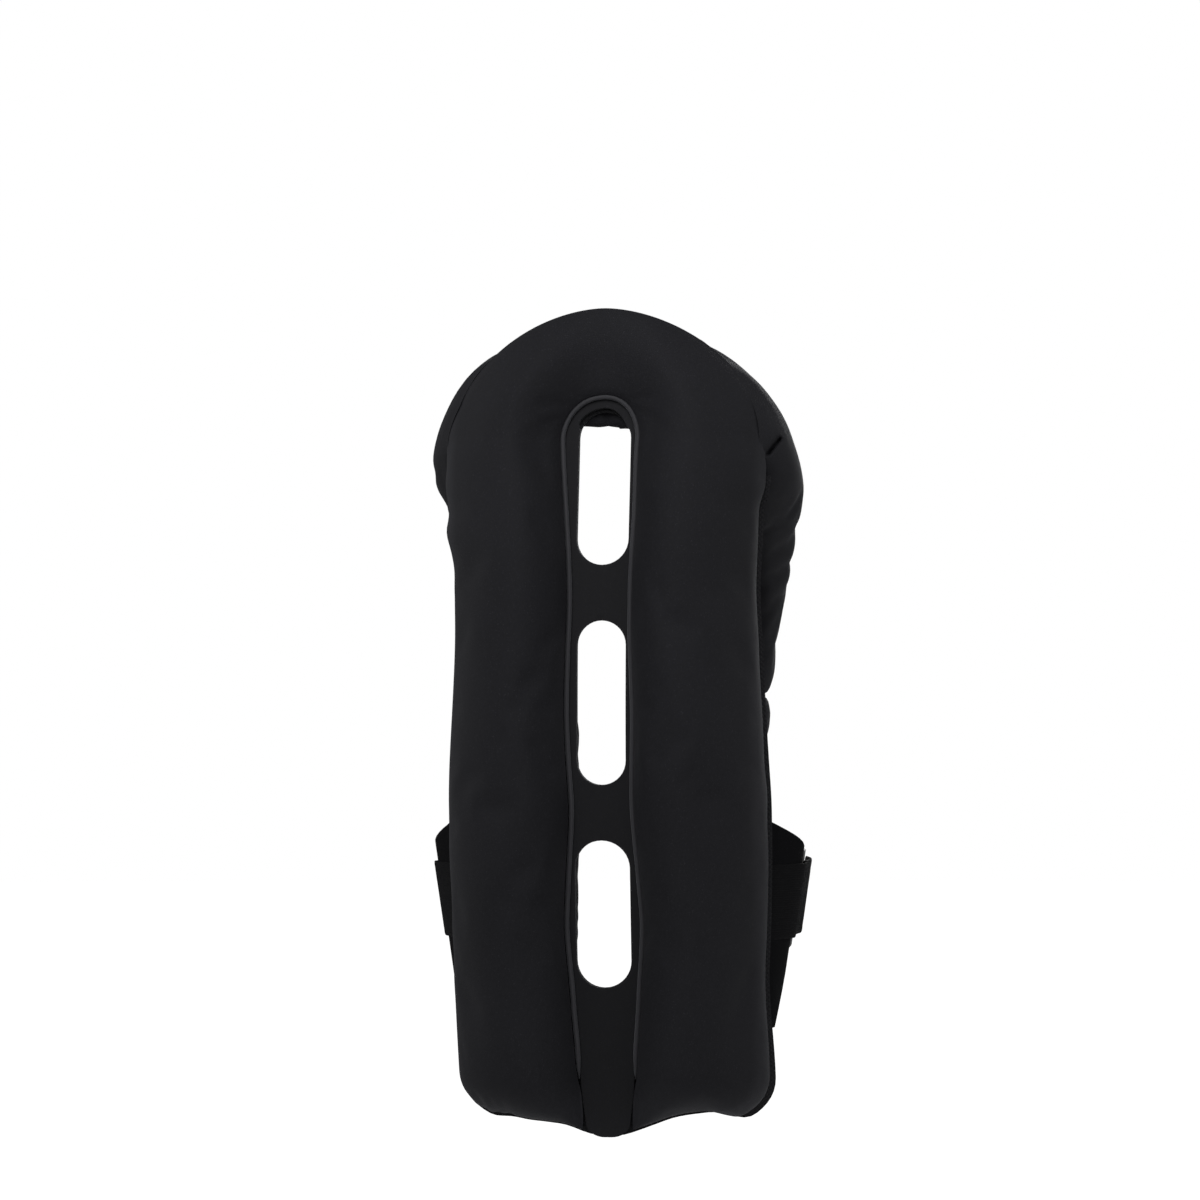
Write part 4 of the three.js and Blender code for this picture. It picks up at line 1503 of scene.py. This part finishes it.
@dataclass
class NeckRoll:
    """Collar over the shoulders and the chest pads that go on from it.

    Attributes:
        form: Shape of the back, which trims the collar.
        table: Row, middle (x, y, z), the way that the face looks (x, y, z), and half width and thickness.
        seam: Row where the collar ends and a chest pad begins.
        seam_gap: Rows between the two.
        power: 2 for an ellipse, more for a squarer section.
        pad_end: Rows of a pad's round end.
        end_width: Share of its width that a pad has at its end.
        end_thick: Share of its thickness there.
        end_shrink: Share by which a cushion's last section is smaller.
        seam_half: Half width of the sewn line along the roll, as the sine of its angle.
        slack: Share by which the cloth is longer than the roll.
        trim: Room that the collar leaves round the back, which it is sewn to.
        trim_low: Height down to which the back trims it.
        trim_under: How far inside the lining's inner face the trim reaches.
        trim_far: Depth behind the vest that it goes on to.
        lap_reach: Softness of the change from the lap to the roll.
        overlap: How far the lap lies over the edge of the back.
        lap_above: Room between the lap and the back below it.
        swell_left: How far the roll stands outside its even form above the left shoulder.
        pinched: Deep fold at the right shoulder.
        pinch_reach: How far round it the cover gets a finer mesh.
        fold_most: Most that a crease takes off the roll, as a share.
        folds: Creases of the right side, which the left side mirrors.
    """

    form: BackForm
    table: Table = Table((
        (0, 0, -60, 59, 0, -.96, .28, 34, 9), (1, 38, -61, 56, .3, -.88, .36, 36, 18),
        (2, 70, -57, 41, .66, -.48, .58, 36, 25.5), (3, 88, -35, 12, .85, -.15, .5, 34, 30.5),
        (4, 88, 8, -18, .74, .28, .62, 33, 29), (5, 80, 52, -64, .52, .7, .5, 30, 25),
        (6, 71, 84, -116, .36, .89, .25, 26, 21), (7, 66, 98, -176, .3, .94, .08, 23, 19),
        (8, 65, 102, -240, .28, .95, -.03, 22, 18), (9, 65, 101, -300, .28, .95, -.06, 22, 17.5),
        (10, 65, 99, -336, .28, .95, -.06, 22, 17)))
    seam: float = 6.6
    seam_gap: float = 0.014
    power: float = 2.4
    pad_end: float = 0.62
    end_width: float = 0.45
    end_thick: float = 0.3
    end_shrink: float = 0.16
    end_rows: int = 3
    seam_half: float = 0.14
    slack: float = 0.015
    trim: float = 0.1
    trim_low: float = -160
    trim_under: float = 0.7
    trim_far: float = -220
    lap_reach: float = 4
    overlap: float = 1.6
    lap_above: float = 0.2
    swell_left: float = 1.8
    swell_right: float = -1.4
    pinched: Crease = Crease((103.5, 6), (113, 20), 1.5, 10)
    pinch_reach: float = 16
    pinch_y: float = -25
    fold_most: float = 0.3
    folds: tuple[Fold, ...] = (
        Fold(3.05, 150, 0.22, 10, 2.2, 40),
        Fold(3.3, 128, 0.2, 9, 1.6, -30),
        Fold(2.75, 165, 0.2, 9, 1.8, 20),
        Fold(4.4, 20, 0.12, 40, 1.6, 0),
        Fold(4.8, 10, 0.1, 40, 1.4, 0),
        Fold(5.2, 25, 0.1, 36, 1.2, 0),
    )

    def middle(self, row: Points) -> Points:
        """Middle of the roll at rows of the table, with rows below 0 on the left."""
        x = np.where(row < 0, -1, 1) * self.table.at(np.abs(row), 1)
        return np.stack([x, self.table.at(np.abs(row), 2), self.table.at(np.abs(row), 3)], -1)

    def sections(self, rows: Points, sides: int, shrink: Points) -> Points:
        """Closed sections of the roll.

        Args:
            rows: Rows of the table.
            sides: Points round a section.
            shrink: Share of the full size of each section.

        Returns:
            Points in rows and columns.
        """
        side = np.where(rows < 0, -1, 1)
        at = np.abs(rows)
        along = unit(self.middle(rows + 0.05) - self.middle(rows - 0.05))
        out = np.stack([side * self.table.at(at, 4), self.table.at(at, 5), self.table.at(at, 6)], -1)
        out = unit(out - along * (out * along).sum(1, keepdims=True))
        across = np.cross(along, out)
        end = round_end(self.table.rows[-1][0] - at, self.pad_end)
        width, thick = (
            self.table.at(at, column) * (least + (1 - least) * end) * shrink
            for column, least in ((7, self.end_width), (8, self.end_thick)))
        angle = turns(sides)
        c, s = np.cos(angle), np.sin(angle)
        bend = 2 / self.power
        wide = (np.sign(c) * np.abs(c) ** bend)[None] * width[:, None]
        high = (np.sign(s) * np.abs(s) ** bend)[None] * thick[:, None]
        spoke = wide[..., None] * across[:, None] + high[..., None] * out[:, None]
        reach = np.linalg.norm(spoke, axis=2)
        degrees = np.degrees(angle)[None] * np.ones_like(reach)
        degrees = np.where(side[:, None] < 0, (180 - degrees) % 360, degrees)
        pressed = np.zeros_like(reach)
        for fold in self.folds:
            turn = (degrees - fold.angle - fold.slant * (at[:, None] - fold.row) + 180) % 360 - 180
            far = (at[:, None] - fold.row) / fold.rows
            pressed += fold.depth * np.exp(-far ** 2 - (turn / fold.degrees) ** 2)
        left = 1 - np.minimum(pressed / reach, self.fold_most)
        return self.middle(rows)[:, None] + spoke * left[..., None]

    def roll(self, name: str, rows: Points, sides: int, cap: float) -> bpy.types.Object:
        """Makes one cushion of the roll and swells it.

        Args:
            name: Name of the piece.
            rows: Rows of the table that its sections are at.
            sides: Points round a section.
            cap: Most that the gas may move a point.

        Returns:
            The piece.
        """
        steps = np.arange(len(rows))
        ends = np.minimum(steps, steps[::-1]) if rows[0] < 0 else steps
        shrink = 1 - self.end_shrink * (1 - np.sqrt(np.clip(ends / self.end_rows, 0, 1)))
        loops = self.sections(rows, sides, shrink)
        draft = Draft()
        draft.add_tube(loops)
        obj = draft.to_object(name, merge=0.0005)
        seam = np.exp(-(np.sin(turns(sides)) / self.seam_half) ** 2)
        pins = np.broadcast_to(seam[None], loops.shape[:2]).copy()
        pins[:self.end_rows] = pins[-self.end_rows:] = 1
        pins = np.concatenate([pins.ravel(), [1, 1]])
        Inflation(cap=cap, growth=self.slack).run(obj, pins)
        subdivide(obj)
        return obj

    def back_space(self) -> bpy.types.Object:
        """Block that takes the room of the back, used to trim the collar."""
        f = self.form
        top = f.top + self.trim - f.arch_z
        z = np.concatenate([np.linspace(self.trim_low, f.arch_z, 40),
                            f.arch_z + top * np.sin(np.linspace(0, np.pi / 2, 60)[1:] * 0.999)])
        half = (f.half(np.minimum(z, f.arch_z)) + self.trim) * f.narrow((z - f.arch_z) / top)
        x = half[:, None] * np.linspace(-1, 1, 41)[None]
        x = x * (1 + f.shift(x, z[:, None]) / np.maximum(half, 1)[:, None])
        near = f.place(x, z[:, None], -self.trim_under)
        far = near.copy()
        far[..., 1] = self.trim_far
        draft = Draft()
        ids = draft.add_grid(np.concatenate([near, far[:, ::-1]], 1), closed=True)
        for ring in (ids[0], ids[-1]):
            draft.add_end(ring, near.shape[1])
        return draft.to_object("back_space", merge=0.0001)

    def swell(self, x: Points, y: Points, z: Points) -> Points:
        """How far the collar's outline stands outside its even form, on each side.

        Args:
            x: Places across.
            y: Depths.
            z: Heights.

        Returns:
            Distances in millimetres.
        """
        angle = np.degrees(np.arctan2(z - self.form.arch_z, np.abs(x)))
        middle, half = 26, 14
        left = self.swell_left * np.exp(-(((angle - middle) / half) ** 2))
        lowest, highest = -25, 48
        right = self.swell_right * ease((angle - lowest) / 25) * ease((highest - angle) / 10)
        front = 20
        return np.where(x < 0, left, right) * ease((front - y) / 50)

    def lap(self, collar: bpy.types.Object) -> None:
        """Draws the collar's cover over the edge of the back, so that the two meet in a soft crease.

        Args:
            collar: The trimmed collar.
        """
        f = self.form
        points = coordinates(collar) / MM
        x, y, z = points.T
        rise = np.maximum(z - f.arch_z, 0)
        size = np.maximum(np.hypot(x, rise), 1)

        def away(x: Points, z: Points) -> Points:
            """Distance outside the outline of the back."""
            return (f.dome(x - np.sign(x) * f.shift(x, z), z) - 1) * f.wrap_at

        front = f.joined(z) * ease((f.surface(x, z) - y - 2) / 4)
        move = self.swell(x, y, z) - self.overlap * ease(1 - away(x, z) / 4) * front
        x, z = x + x / size * move, z + rise / size * move
        gap = away(x, z)
        over = f.height(x - np.sign(x) * f.shift(x, z), z) + self.lap_above
        high = np.where(gap < 0, over, f.collar_edge - f.collar_slope * gap)
        level = f.surface(x, z) - f.lining - f.seat - high
        mix = np.clip(0.5 + (y - level) / (2 * self.lap_reach), 0, 1)
        drawn = y + (level - y) * mix - self.lap_reach * mix * (1 - mix)
        points = np.stack([x, y + (drawn - y) * front, z], 1)
        set_coordinates(collar, points * MM)

    def pinch(self, collar: bpy.types.Object) -> None:
        """Presses the short deep fold into the collar where it leaves the right shoulder.

        Args:
            collar: The lapped collar.
        """
        fold = self.pinched
        middle = (np.array(fold.start) + np.array(fold.end)) / 2

        def close(vert: bmesh.types.BMVert) -> bool:
            """True for a point round the fold."""
            x, y, z = vert.co / MM
            return math.hypot(x - middle[0], z - middle[1]) < self.pinch_reach and y < self.pinch_y

        with edited(collar.data) as made:
            faces = [face for face in made.faces if any(close(vert) for vert in face.verts)]
            bmesh.ops.triangulate(made, faces=faces)
            edges = [edge for edge in made.edges if all(close(vert) for vert in edge.verts)]
            bmesh.ops.subdivide_edges(made, edges=edges, cuts=3, use_grid_fill=True)
        points = coordinates(collar) / MM
        points[:, 1] += fold.press(points) * (points[:, 1] < self.pinch_y + 5)
        set_coordinates(collar, points * MM)

    def dress(self) -> None:
        """Makes the collar and the chest pads and sets them on the frame."""
        collar = self.roll("neck_collar", np.linspace(-self.seam, self.seam, 151), 44, 4.0)
        space = self.back_space()
        trim = collar.modifiers.new("trim", "BOOLEAN")
        trim.operation = "DIFFERENCE"
        trim.solver = "EXACT"
        trim.object = space
        apply_modifiers(collar)
        bpy.data.objects.remove(space)
        self.lap(collar)
        self.pinch(collar)
        collar.data.shade_smooth()
        collar.data.set_sharp_from_angle(angle=math.radians(48))
        nodes = ["collar_cushion", "shoulder_cushion_left", "shoulder_cushion_right"]
        dress(collar, COVER_CLOTH, Slot.COVER, nodes)
        last = self.table.rows[-1][0]
        straight = np.linspace(self.seam + self.seam_gap, last - self.pad_end, 44)
        bend = last - self.pad_end * (1 - np.sin(np.linspace(0, 0.47, 12)[1:] * np.pi))
        rows = np.concatenate([straight, bend])
        for side in Side:
            pad = self.roll(f"chest_pad_{side.tag}", rows if side is Side.RIGHT else -rows, 36, 3.0)
            dress(pad, COVER_CLOTH, Slot.COVER, [f"front_cushion_{side.tag}"])


@dataclass
class WaistBelt:
    """Side wings, slide buckles and waist webbing.

    Attributes:
        form: Shape of the back, which carries the wings.
        half_width: Half width of the oval that the belt follows.
        half_depth: Half its depth.
        lean: How far the belt leans out for each millimetre up.
        buckle_angle: Angle round the oval that the buckle is at, in radians.
        rail: Height of the buckle above and below its slots.
        turn: Radius of the webbing's turn round a bar.
        tail_near: Distance from the buckle to the middle of the strap's free tail.
        tail_lift: How far the tail stands off at its middle.
        wing_rise: How much higher than the belt a wing ends.
        wing_behind: How far inside the webbing's turn a wing's end lies.
        wing_taper: Shares of a wing's length where its taper begins and ends, and how much less at the top.
        wing_faces: Distances of the panel's two faces from its middle surface.
        wing_over: How far a wing's webbing lies over that surface.
        wing_sewn: Length of the webbing that is folded back.
        wing_lift: Room between the lining and a wing.
        strap_end: Place across where the webbing meets a chest pad.
        left_in: How much closer the left side lies.
    """

    form: BackForm
    half_width: float = 117
    half_depth: float = 88
    middle_y: float = -2
    z: float = -286
    lean: float = 0.15
    height: float = 50
    buckle_angle: float = 0.03
    bar: float = 3.2
    slot: float = 7
    rail: float = 5.5
    slot_height: float = 55
    slot_corner: float = 1.5
    buckle_corner: float = 3.4
    buckle_edge: float = 0.9
    plate: float = 3
    turn: float = 3.2
    tail_near: float = 24
    tail_far: float = 46
    tail_lift: float = 10
    tail_far_lift: float = 21
    wing_root: float = 74
    wing_edge: float = 99
    wing_top: float = -233
    wing_bottom: float = -370
    wing_end: float = 67
    wing_rise: float = 2
    wing_behind: float = 0.8
    wing_taper: tuple[tuple[float, float], tuple[float, float]] = ((0.66, 0.1), (0.79, 0.03))
    wing_faces: tuple[float, float] = (0.15, 1.0)
    wing_thick: float = 1.2
    wing_over: float = 0.45
    strap_thick: float = 1.9
    wing_sewn: float = 11
    wing_lift: float = 1.75
    strap_end: float = 52
    left_in: float = 2.8
    left_from: float = 98
    left_fade: float = 12

    @property
    def pitch(self) -> float:
        """Distance from one bar of the buckle to the next."""
        return self.bar + self.slot

    def point(self, angle: float, out: float, z: float) -> Points:
        """Point on the belt.

        Args:
            angle: Angle round the belt.
            out: Distance out of it.
            z: Height.

        Returns:
            The point.
        """
        c, s = math.cos(angle), math.sin(angle)
        normal = unit(np.array([c / self.half_width, s / self.half_depth]))
        lean = out + self.lean * (z - self.z)
        return np.array([self.half_width * c + normal[0] * lean,
                         self.middle_y + self.half_depth * s + normal[1] * lean, z])

    def frame(self) -> tuple[Points, Points, Points, Points]:
        """The right buckle's place and its axes along the belt, up and outwards."""
        origin = self.point(self.buckle_angle, 0, self.z)
        up = unit(self.point(self.buckle_angle, 0, self.z + 1) - origin)
        ahead = unit(self.point(self.buckle_angle + 0.01, 0, self.z) - origin)
        return origin, ahead, up, unit(np.cross(ahead, up))

    def on_buckle(self, along: float, out: float, height: float) -> Points:
        """Point in the buckle's own frame."""
        origin, ahead, up, outward = self.frame()
        return origin + ahead * along + up * height + outward * out

    def fold(self, bar: float, side: float, height: float) -> list[Points]:
        """Half a turn of webbing round a bar, from its outer side to its inner side."""
        return [self.on_buckle(bar + side * self.turn * math.sin(a), self.turn * math.cos(a), height)
                for a in np.linspace(0, math.pi, 7)]

    def wing_curve(self, level: float, folded: bool) -> Points:
        """Curve along the wing's surface at a height.

        Args:
            level: Height in the frame.
            folded: True for the webbing, which goes on round the buckle's bar.

        Returns:
            Points from the lining to the buckle.
        """
        height = level - self.z
        across = (self.wing_root, (self.wing_root + self.wing_edge) / 2, self.wing_edge)
        line = [self.form.place(x, level, -self.wing_lift - 1) for x in across]
        if not folded:
            line += [self.on_buckle(-self.pitch - 14, 0.6, height),
                     self.on_buckle(-self.pitch - 4, -self.turn - self.wing_behind, height)]
        else:
            line += [self.on_buckle(-self.pitch - gap, self.turn, height) for gap in (14, 6)]
            line += self.fold(-self.pitch, 1, height)
            line.append(self.on_buckle(-self.pitch - self.wing_sewn, -self.turn, height))
        return smooth_path(np.array(line), 8)

    def wing_panel(self, shares: Points) -> Points:
        """Grid of the tapered panel.

        Args:
            shares: Places of its columns, from the lower edge to the upper.

        Returns:
            Points in rows along the wing.
        """
        spare = 8
        levels = np.linspace(self.wing_bottom - spare, self.wing_top + spare, 50)
        sheet = np.stack([self.wing_curve(level, False) for level in levels], 1)
        low = self.wing_bottom + (self.wing_top - self.wing_bottom) * shares
        end = self.z + self.wing_rise + self.wing_end * (shares - 0.5)
        start, stop = (share - less * shares for share, less in self.wing_taper)
        grid = []
        for step, row in zip(np.linspace(0, 1, len(sheet)), sheet):
            z = low + (end - low) * np.clip((step - start) / (stop - start), 0, 1)
            grid.append(np.stack([np.interp(z, levels, row[:, axis]) for axis in range(3)], 1))
        return np.array(grid)

    def strap_lines(self, shares: Points) -> Points:
        """Lines along the waist webbing, from its free tail round the buckle's bar to the chest pad.

        Args:
            shares: Places of the lines across the webbing.

        Returns:
            Points in rows along it.
        """
        end = math.acos(self.strap_end / self.half_width)
        near, far = (self.buckle_angle + d / self.half_depth for d in (self.tail_near, self.tail_far))
        lines = []
        for share in shares:
            height = self.height * (share - 0.5)
            z = self.z + height
            line = [self.point(far, self.tail_far_lift, z), self.point(near, self.tail_lift, z),
                    self.on_buckle(self.pitch + 4, self.turn, height), *self.fold(self.pitch, -1, height),
                    self.on_buckle(self.pitch + 4, -self.turn, height),
                    *(self.point(a, 0, z) for a in np.linspace(near, end, 9))]
            lines.append(smooth_path(np.array(line), 6))
        return np.stack(lines, 1)

    @staticmethod
    def shares(columns: int) -> Points:
        """Places across a strip, closer together at its two edges."""
        return 0.5 - 0.5 * np.cos(np.pi * np.linspace(0, 1, columns))

    @staticmethod
    def thick(shares: Points, thickness: float) -> Points:
        """Half thickness across webbing: rounded at its edges, with a groove inside each selvedge.

        Args:
            shares: Places across it.
            thickness: Its full thickness.

        Returns:
            Half thickness at each place.
        """
        edge, groove_at, groove_half, groove_depth = 0.03, 0.11, 0.02, 0.14
        off = np.minimum(shares, 1 - shares)
        groove = groove_depth * np.exp(-(((off - groove_at) / groove_half) ** 2))
        return thickness / 2 * (np.clip(round_end(off, edge), 0.25, 1) - groove)

    def mirrored(self, grid: Points, side: Side) -> Points:
        """Grid on the side named, where the left side lies a little closer."""
        made = grid * np.array([side.value, 1, 1])
        if side is Side.LEFT:
            made[..., 0] += self.left_in * ease((np.abs(made[..., 0]) - self.left_from) / self.left_fade)
        return made

    def dress(self) -> None:
        """Makes both sides of the belt and sets them on the frame."""
        for side in Side:
            self.wing(side)
            self.strap(side)
            self.buckle(side)

    def wing(self, side: Side) -> None:
        """Makes a side wing: a tapered cloth panel with webbing sewn on, which folds round the buckle.

        Args:
            side: Side of the belt.
        """
        shares = self.shares(15)
        lines = self.mirrored(self.wing_panel(shares), side)
        low, high = np.sort(-side.value * np.array(self.wing_faces))
        draft = sheet_draft(lines, np.full(len(shares), -low), np.full(len(shares), -high))
        panel = draft.to_object(f"wing_panel_{side.tag}")
        dress(panel, WING_CLOTH_SHADED, Slot.WEBBING)
        narrow = self.shares(17)
        levels = self.z + self.height * (narrow - 0.5)
        band = self.mirrored(np.stack([self.wing_curve(level, True) for level in levels], 1), side)
        self.webbing(side, ("wing_webbing", "side_wing"), band, narrow, self.wing_thick, self.wing_over)

    def webbing(
        self, side: Side, names: tuple[str, str], lines: Points, shares: Points, thickness: float,
        lift: float = 0.0,
    ) -> None:
        """Makes a strip of webbing and sets it on the frame.

        Args:
            side: Side that it is on.
            names: Names of the piece and of the CAD node that it is shown in place of, without the side.
            lines: Points along and across the strip.
            shares: Places of the columns across it.
            thickness: Thickness in millimetres.
            lift: How far it is moved out of the lines.
        """
        piece, node = (f"{name}_{side.tag}" for name in names)
        half = self.thick(shares, thickness)
        move = -side.value * lift
        obj = sheet_draft(lines, half - move, -half - move).to_object(piece)
        mark_wear_and_sheen(obj, np.full(len(obj.data.vertices), 0.06))
        dress(obj, WEBBING_CLOTH_SHADED, Slot.WEBBING, [node])

    def strap(self, side: Side) -> None:
        """Makes the waist webbing of one side."""
        shares = self.shares(19)
        lines = self.mirrored(self.strap_lines(shares), side)
        self.webbing(side, ("waist_webbing", "waist_strap"), lines, shares, self.strap_thick)

    def buckle(self, side: Side) -> None:
        """Makes a three-bar slide buckle with rounded edges.

        Args:
            side: Side of the belt.
        """
        width, tall = 2 * self.pitch + self.bar, self.slot_height + 2 * self.rail
        holes = [(s * self.pitch / 2, self.slot, self.slot_height, self.slot_corner) for s in (-1, 1)]
        outline = (width, tall, self.buckle_corner)
        obj = plate(f"slide_buckle_{side.tag}", outline, holes, self.plate, self.buckle_edge)
        origin, ahead, up, out = self.frame()
        matrix = Matrix.Identity(4)
        for n, axis in enumerate((ahead, up, out)):
            matrix.col[n][:3] = axis
        matrix.col[3][:3] = origin * MM
        obj.data.transform(matrix)
        if side is Side.LEFT:
            closer = Matrix.Translation((self.left_in * MM, 0, 0))
            obj.data.transform(closer @ Matrix.Scale(-1, 4, Vector((1, 0, 0))))
            obj.data.flip_normals()
        dress(obj, SATIN_PLASTIC, Slot.PLASTIC, [f"side_buckle_{side.tag}"])


def rounded_rectangle(width: float, height: float, radius: float, x: float = 0.0) -> Points:
    """Outline of a rectangle with round corners.

    Args:
        width: Width in millimetres.
        height: Height.
        radius: Radius of the corners.
        x: Place of its middle across.

    Returns:
        Points of the outline.
    """
    steps = 8
    corners = []
    for n, (sx, sy) in enumerate(((1, 1), (-1, 1), (-1, -1), (1, -1))):
        angle = np.linspace(0, np.pi / 2, steps) + n * np.pi / 2
        middle = np.array([x + sx * (width / 2 - radius), sy * (height / 2 - radius)])
        corners.append(middle + radius * np.stack([np.cos(angle), np.sin(angle)], 1))
    return np.concatenate(corners)


def plate(
    name: str, outline: tuple[float, float, float], holes: Sequence[tuple[float, float, float, float]],
    thickness: float, round_edge: float,
) -> bpy.types.Object:
    """Flat plate with holes and rounded edges, lying in XY.

    Args:
        name: Name of the piece.
        outline: Width, height and corner radius.
        holes: Place along X, width, height and corner radius of each hole.
        thickness: Thickness in millimetres.
        round_edge: Radius of the edges.

    Returns:
        The piece.
    """
    curve = bpy.data.curves.new(name, "CURVE")
    curve.dimensions = "2D"
    curve.fill_mode = "BOTH"
    width, height, radius = outline
    both = 2 * round_edge
    lines = [rounded_rectangle(width - both, height - both, max(radius - round_edge, 0.6))]
    lines += [rounded_rectangle(w + both, h + both, r + round_edge, x) for x, w, h, r in holes]
    for line in lines:
        spline = curve.splines.new("POLY")
        spline.points.add(len(line) - 1)
        for point, (x, y) in zip(spline.points, line):
            point.co = (x * MM, y * MM, 0, 1)
        spline.use_cyclic_u = True
    curve.extrude = (thickness / 2 - round_edge) * MM
    curve.bevel_depth = round_edge * MM
    curve.bevel_resolution = 3
    holder = link_object(name, curve)
    bpy.context.view_layer.update()
    mesh = bpy.data.meshes.new_from_object(holder.evaluated_get(bpy.context.evaluated_depsgraph_get()))
    bpy.data.objects.remove(holder)
    mesh.name = name
    with edited(mesh) as made:
        bmesh.ops.remove_doubles(made, verts=made.verts, dist=0.01 * MM)
        bmesh.ops.recalc_face_normals(made, faces=made.faces)
    mesh.shade_smooth()
    mesh.set_sharp_from_angle(angle=math.radians(40))
    return link_object(name, mesh)


@dataclass
class FrontClasp:
    """Plain plate that joins the chest pads.

    Attributes:
        y: Depth of its middle.
        z: Height of its middle.
    """

    width: float = 104
    height: float = 32
    thickness: float = 5
    corner: float = 6
    edge: float = 1.2
    y: float = 75.3
    z: float = -233

    def dress(self) -> None:
        """Makes the plate and sets it on the frame."""
        outline = (self.width, self.height, self.corner)
        obj = plate("front_clasp_plate", outline, [], self.thickness, self.edge)
        turn = Matrix.Translation((0, self.y * MM, self.z * MM)) @ Matrix.Rotation(math.pi / 2, 4, "X")
        obj.data.transform(turn)
        dress(obj, SATIN_PLASTIC, Slot.PLASTIC, ["front_clasp"])


@dataclass
class Studio:
    """Pale floor, soft light and the camera.

    Attributes:
        azimuth: Turn of the camera round the vest, in degrees.
        distance: Distance from the camera to the plane that the picture's scale is taken at.
        half_frame: Half the picture's width at that plane, in millimetres.
        pivot_y: Depth of that plane at the middle.
        aim: Offset of the picture's middle to the right and up.
        floor_glow: White that the camera sees on the floor besides its own light.
        lit: Place in metres that the lights look at.
        soft_boxes: Name, place and side in metres, and watts of each light.
    """

    azimuth: float = 7.5
    distance: float = 3500
    half_frame: float = 390
    pivot_y: float = -103
    aim: tuple[float, float] = (-0.975, -87.75)
    floor: float = -900
    floor_half: float = 12
    floor_glow: float = 0.9
    ambient: float = 0.19
    lit: tuple[float, float, float] = (0, 0, -0.17)
    soft_boxes: tuple[tuple[str, tuple[float, float, float], float, float], ...] = (
        ("key_soft_box", (-0.1, -1.0, 0.66), 0.9, 16),
        ("fill_soft_box", (1.8, -2.0, 0.9), 1.6, 9),
        ("left_soft_box", (-1.3, 0.25, 0.1), 0.8, 5),
        ("right_soft_box", (1.3, 0.3, 0.1), 0.8, 5),
        ("front_soft_box", (0.3, 1.8, 0.5), 1.4, 24),
    )

    def light(self, name: str, place: Sequence[float], size: float, watts: float) -> None:
        """Adds a square soft box that looks at the vest.

        Args:
            name: Name of the light.
            place: Its place in metres.
            size: Its side in metres.
            watts: Its power.
        """
        data = bpy.data.lights.new(name, "AREA")
        data.size = size
        data.energy = watts
        obj = link_object(name, data)
        obj.location = place
        obj.rotation_mode = "QUATERNION"
        obj.rotation_quaternion = (Vector(self.lit) - Vector(place)).to_track_quat("-Z", "Y")
        obj.visible_camera = False

    def glow(self, graph: NodeGraph, seen: float, cast: float) -> bpy.types.NodeSocket:
        """Strength of white that the camera sees at one value and that lights the vest at another."""
        camera = graph.add("ShaderNodeLightPath").outputs["Is Camera Ray"]
        return graph.math("MULTIPLY_ADD", camera, seen - cast, cast)

    def backdrop(self) -> None:
        """Adds the floor and the white surroundings."""
        mesh = bpy.data.meshes.new("floor")
        far, z = self.floor_half, self.floor * MM
        ring = [(far * math.cos(angle), far * math.sin(angle), z) for angle in turns(64)]
        mesh.from_pydata(ring, [], [tuple(range(len(ring)))])
        floor = link_object("floor", mesh)

        def fill(graph: NodeGraph) -> bpy.types.NodeSocket:
            """Makes the floor's shader."""
            return graph.add("ShaderNodeBsdfPrincipled", {
                "Base Color": grey(0.9), "Roughness": 0.9, "Emission Color": grey(1.0),
                "Emission Strength": self.glow(graph, self.floor_glow, 0.0)}).outputs[0]

        mesh.materials.append(shared_material("pale_floor", fill))
        world = bpy.data.worlds.new("white_studio")
        bpy.context.scene.world = world
        world.use_nodes = True
        shader = world.node_tree.nodes["Background"]
        shader.inputs["Color"].default_value = grey(1.0)
        graph = NodeGraph(world.node_tree)
        graph.tree.links.new(self.glow(graph, 1.0, self.ambient), shader.inputs["Strength"])

    def camera(self) -> None:
        """Adds the camera."""
        turn = math.radians(self.azimuth)
        right = Vector((math.cos(turn), math.sin(turn), 0))
        ahead = Vector((-math.sin(turn), math.cos(turn), 0))
        data = bpy.data.cameras.new("camera")
        data.angle = 2 * math.atan(self.half_frame / self.distance)
        obj = link_object("camera", data)
        middle = Vector((0, self.pivot_y, self.aim[1])) + right * self.aim[0]
        obj.location = (middle - ahead * self.distance) * MM
        obj.rotation_euler = (math.pi / 2, 0, turn)
        bpy.context.scene.camera = obj

    def build(self) -> None:
        """Sets up the studio."""
        self.backdrop()
        for box in self.soft_boxes:
            self.light(*box)
        self.camera()
        bpy.context.scene.view_settings.view_transform = "Standard"


def main() -> None:
    """Loads the frame, builds each sub-assembly on it and sets up the studio."""
    logging.basicConfig(level=logging.INFO, format="%(name)s: %(message)s")
    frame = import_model()
    LOG.info("frame with %d nodes", len(frame["nodes"]))
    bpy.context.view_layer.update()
    form = BackForm()
    for assembly in (BackCushion(form), ChannelWelt(form), SpinePanel(form), BackLining(form), NeckRoll(form),
                     WaistBelt(form), FrontClasp()):
        assembly.dress()
    Studio().build()


if __name__ == "__main__":
    main()
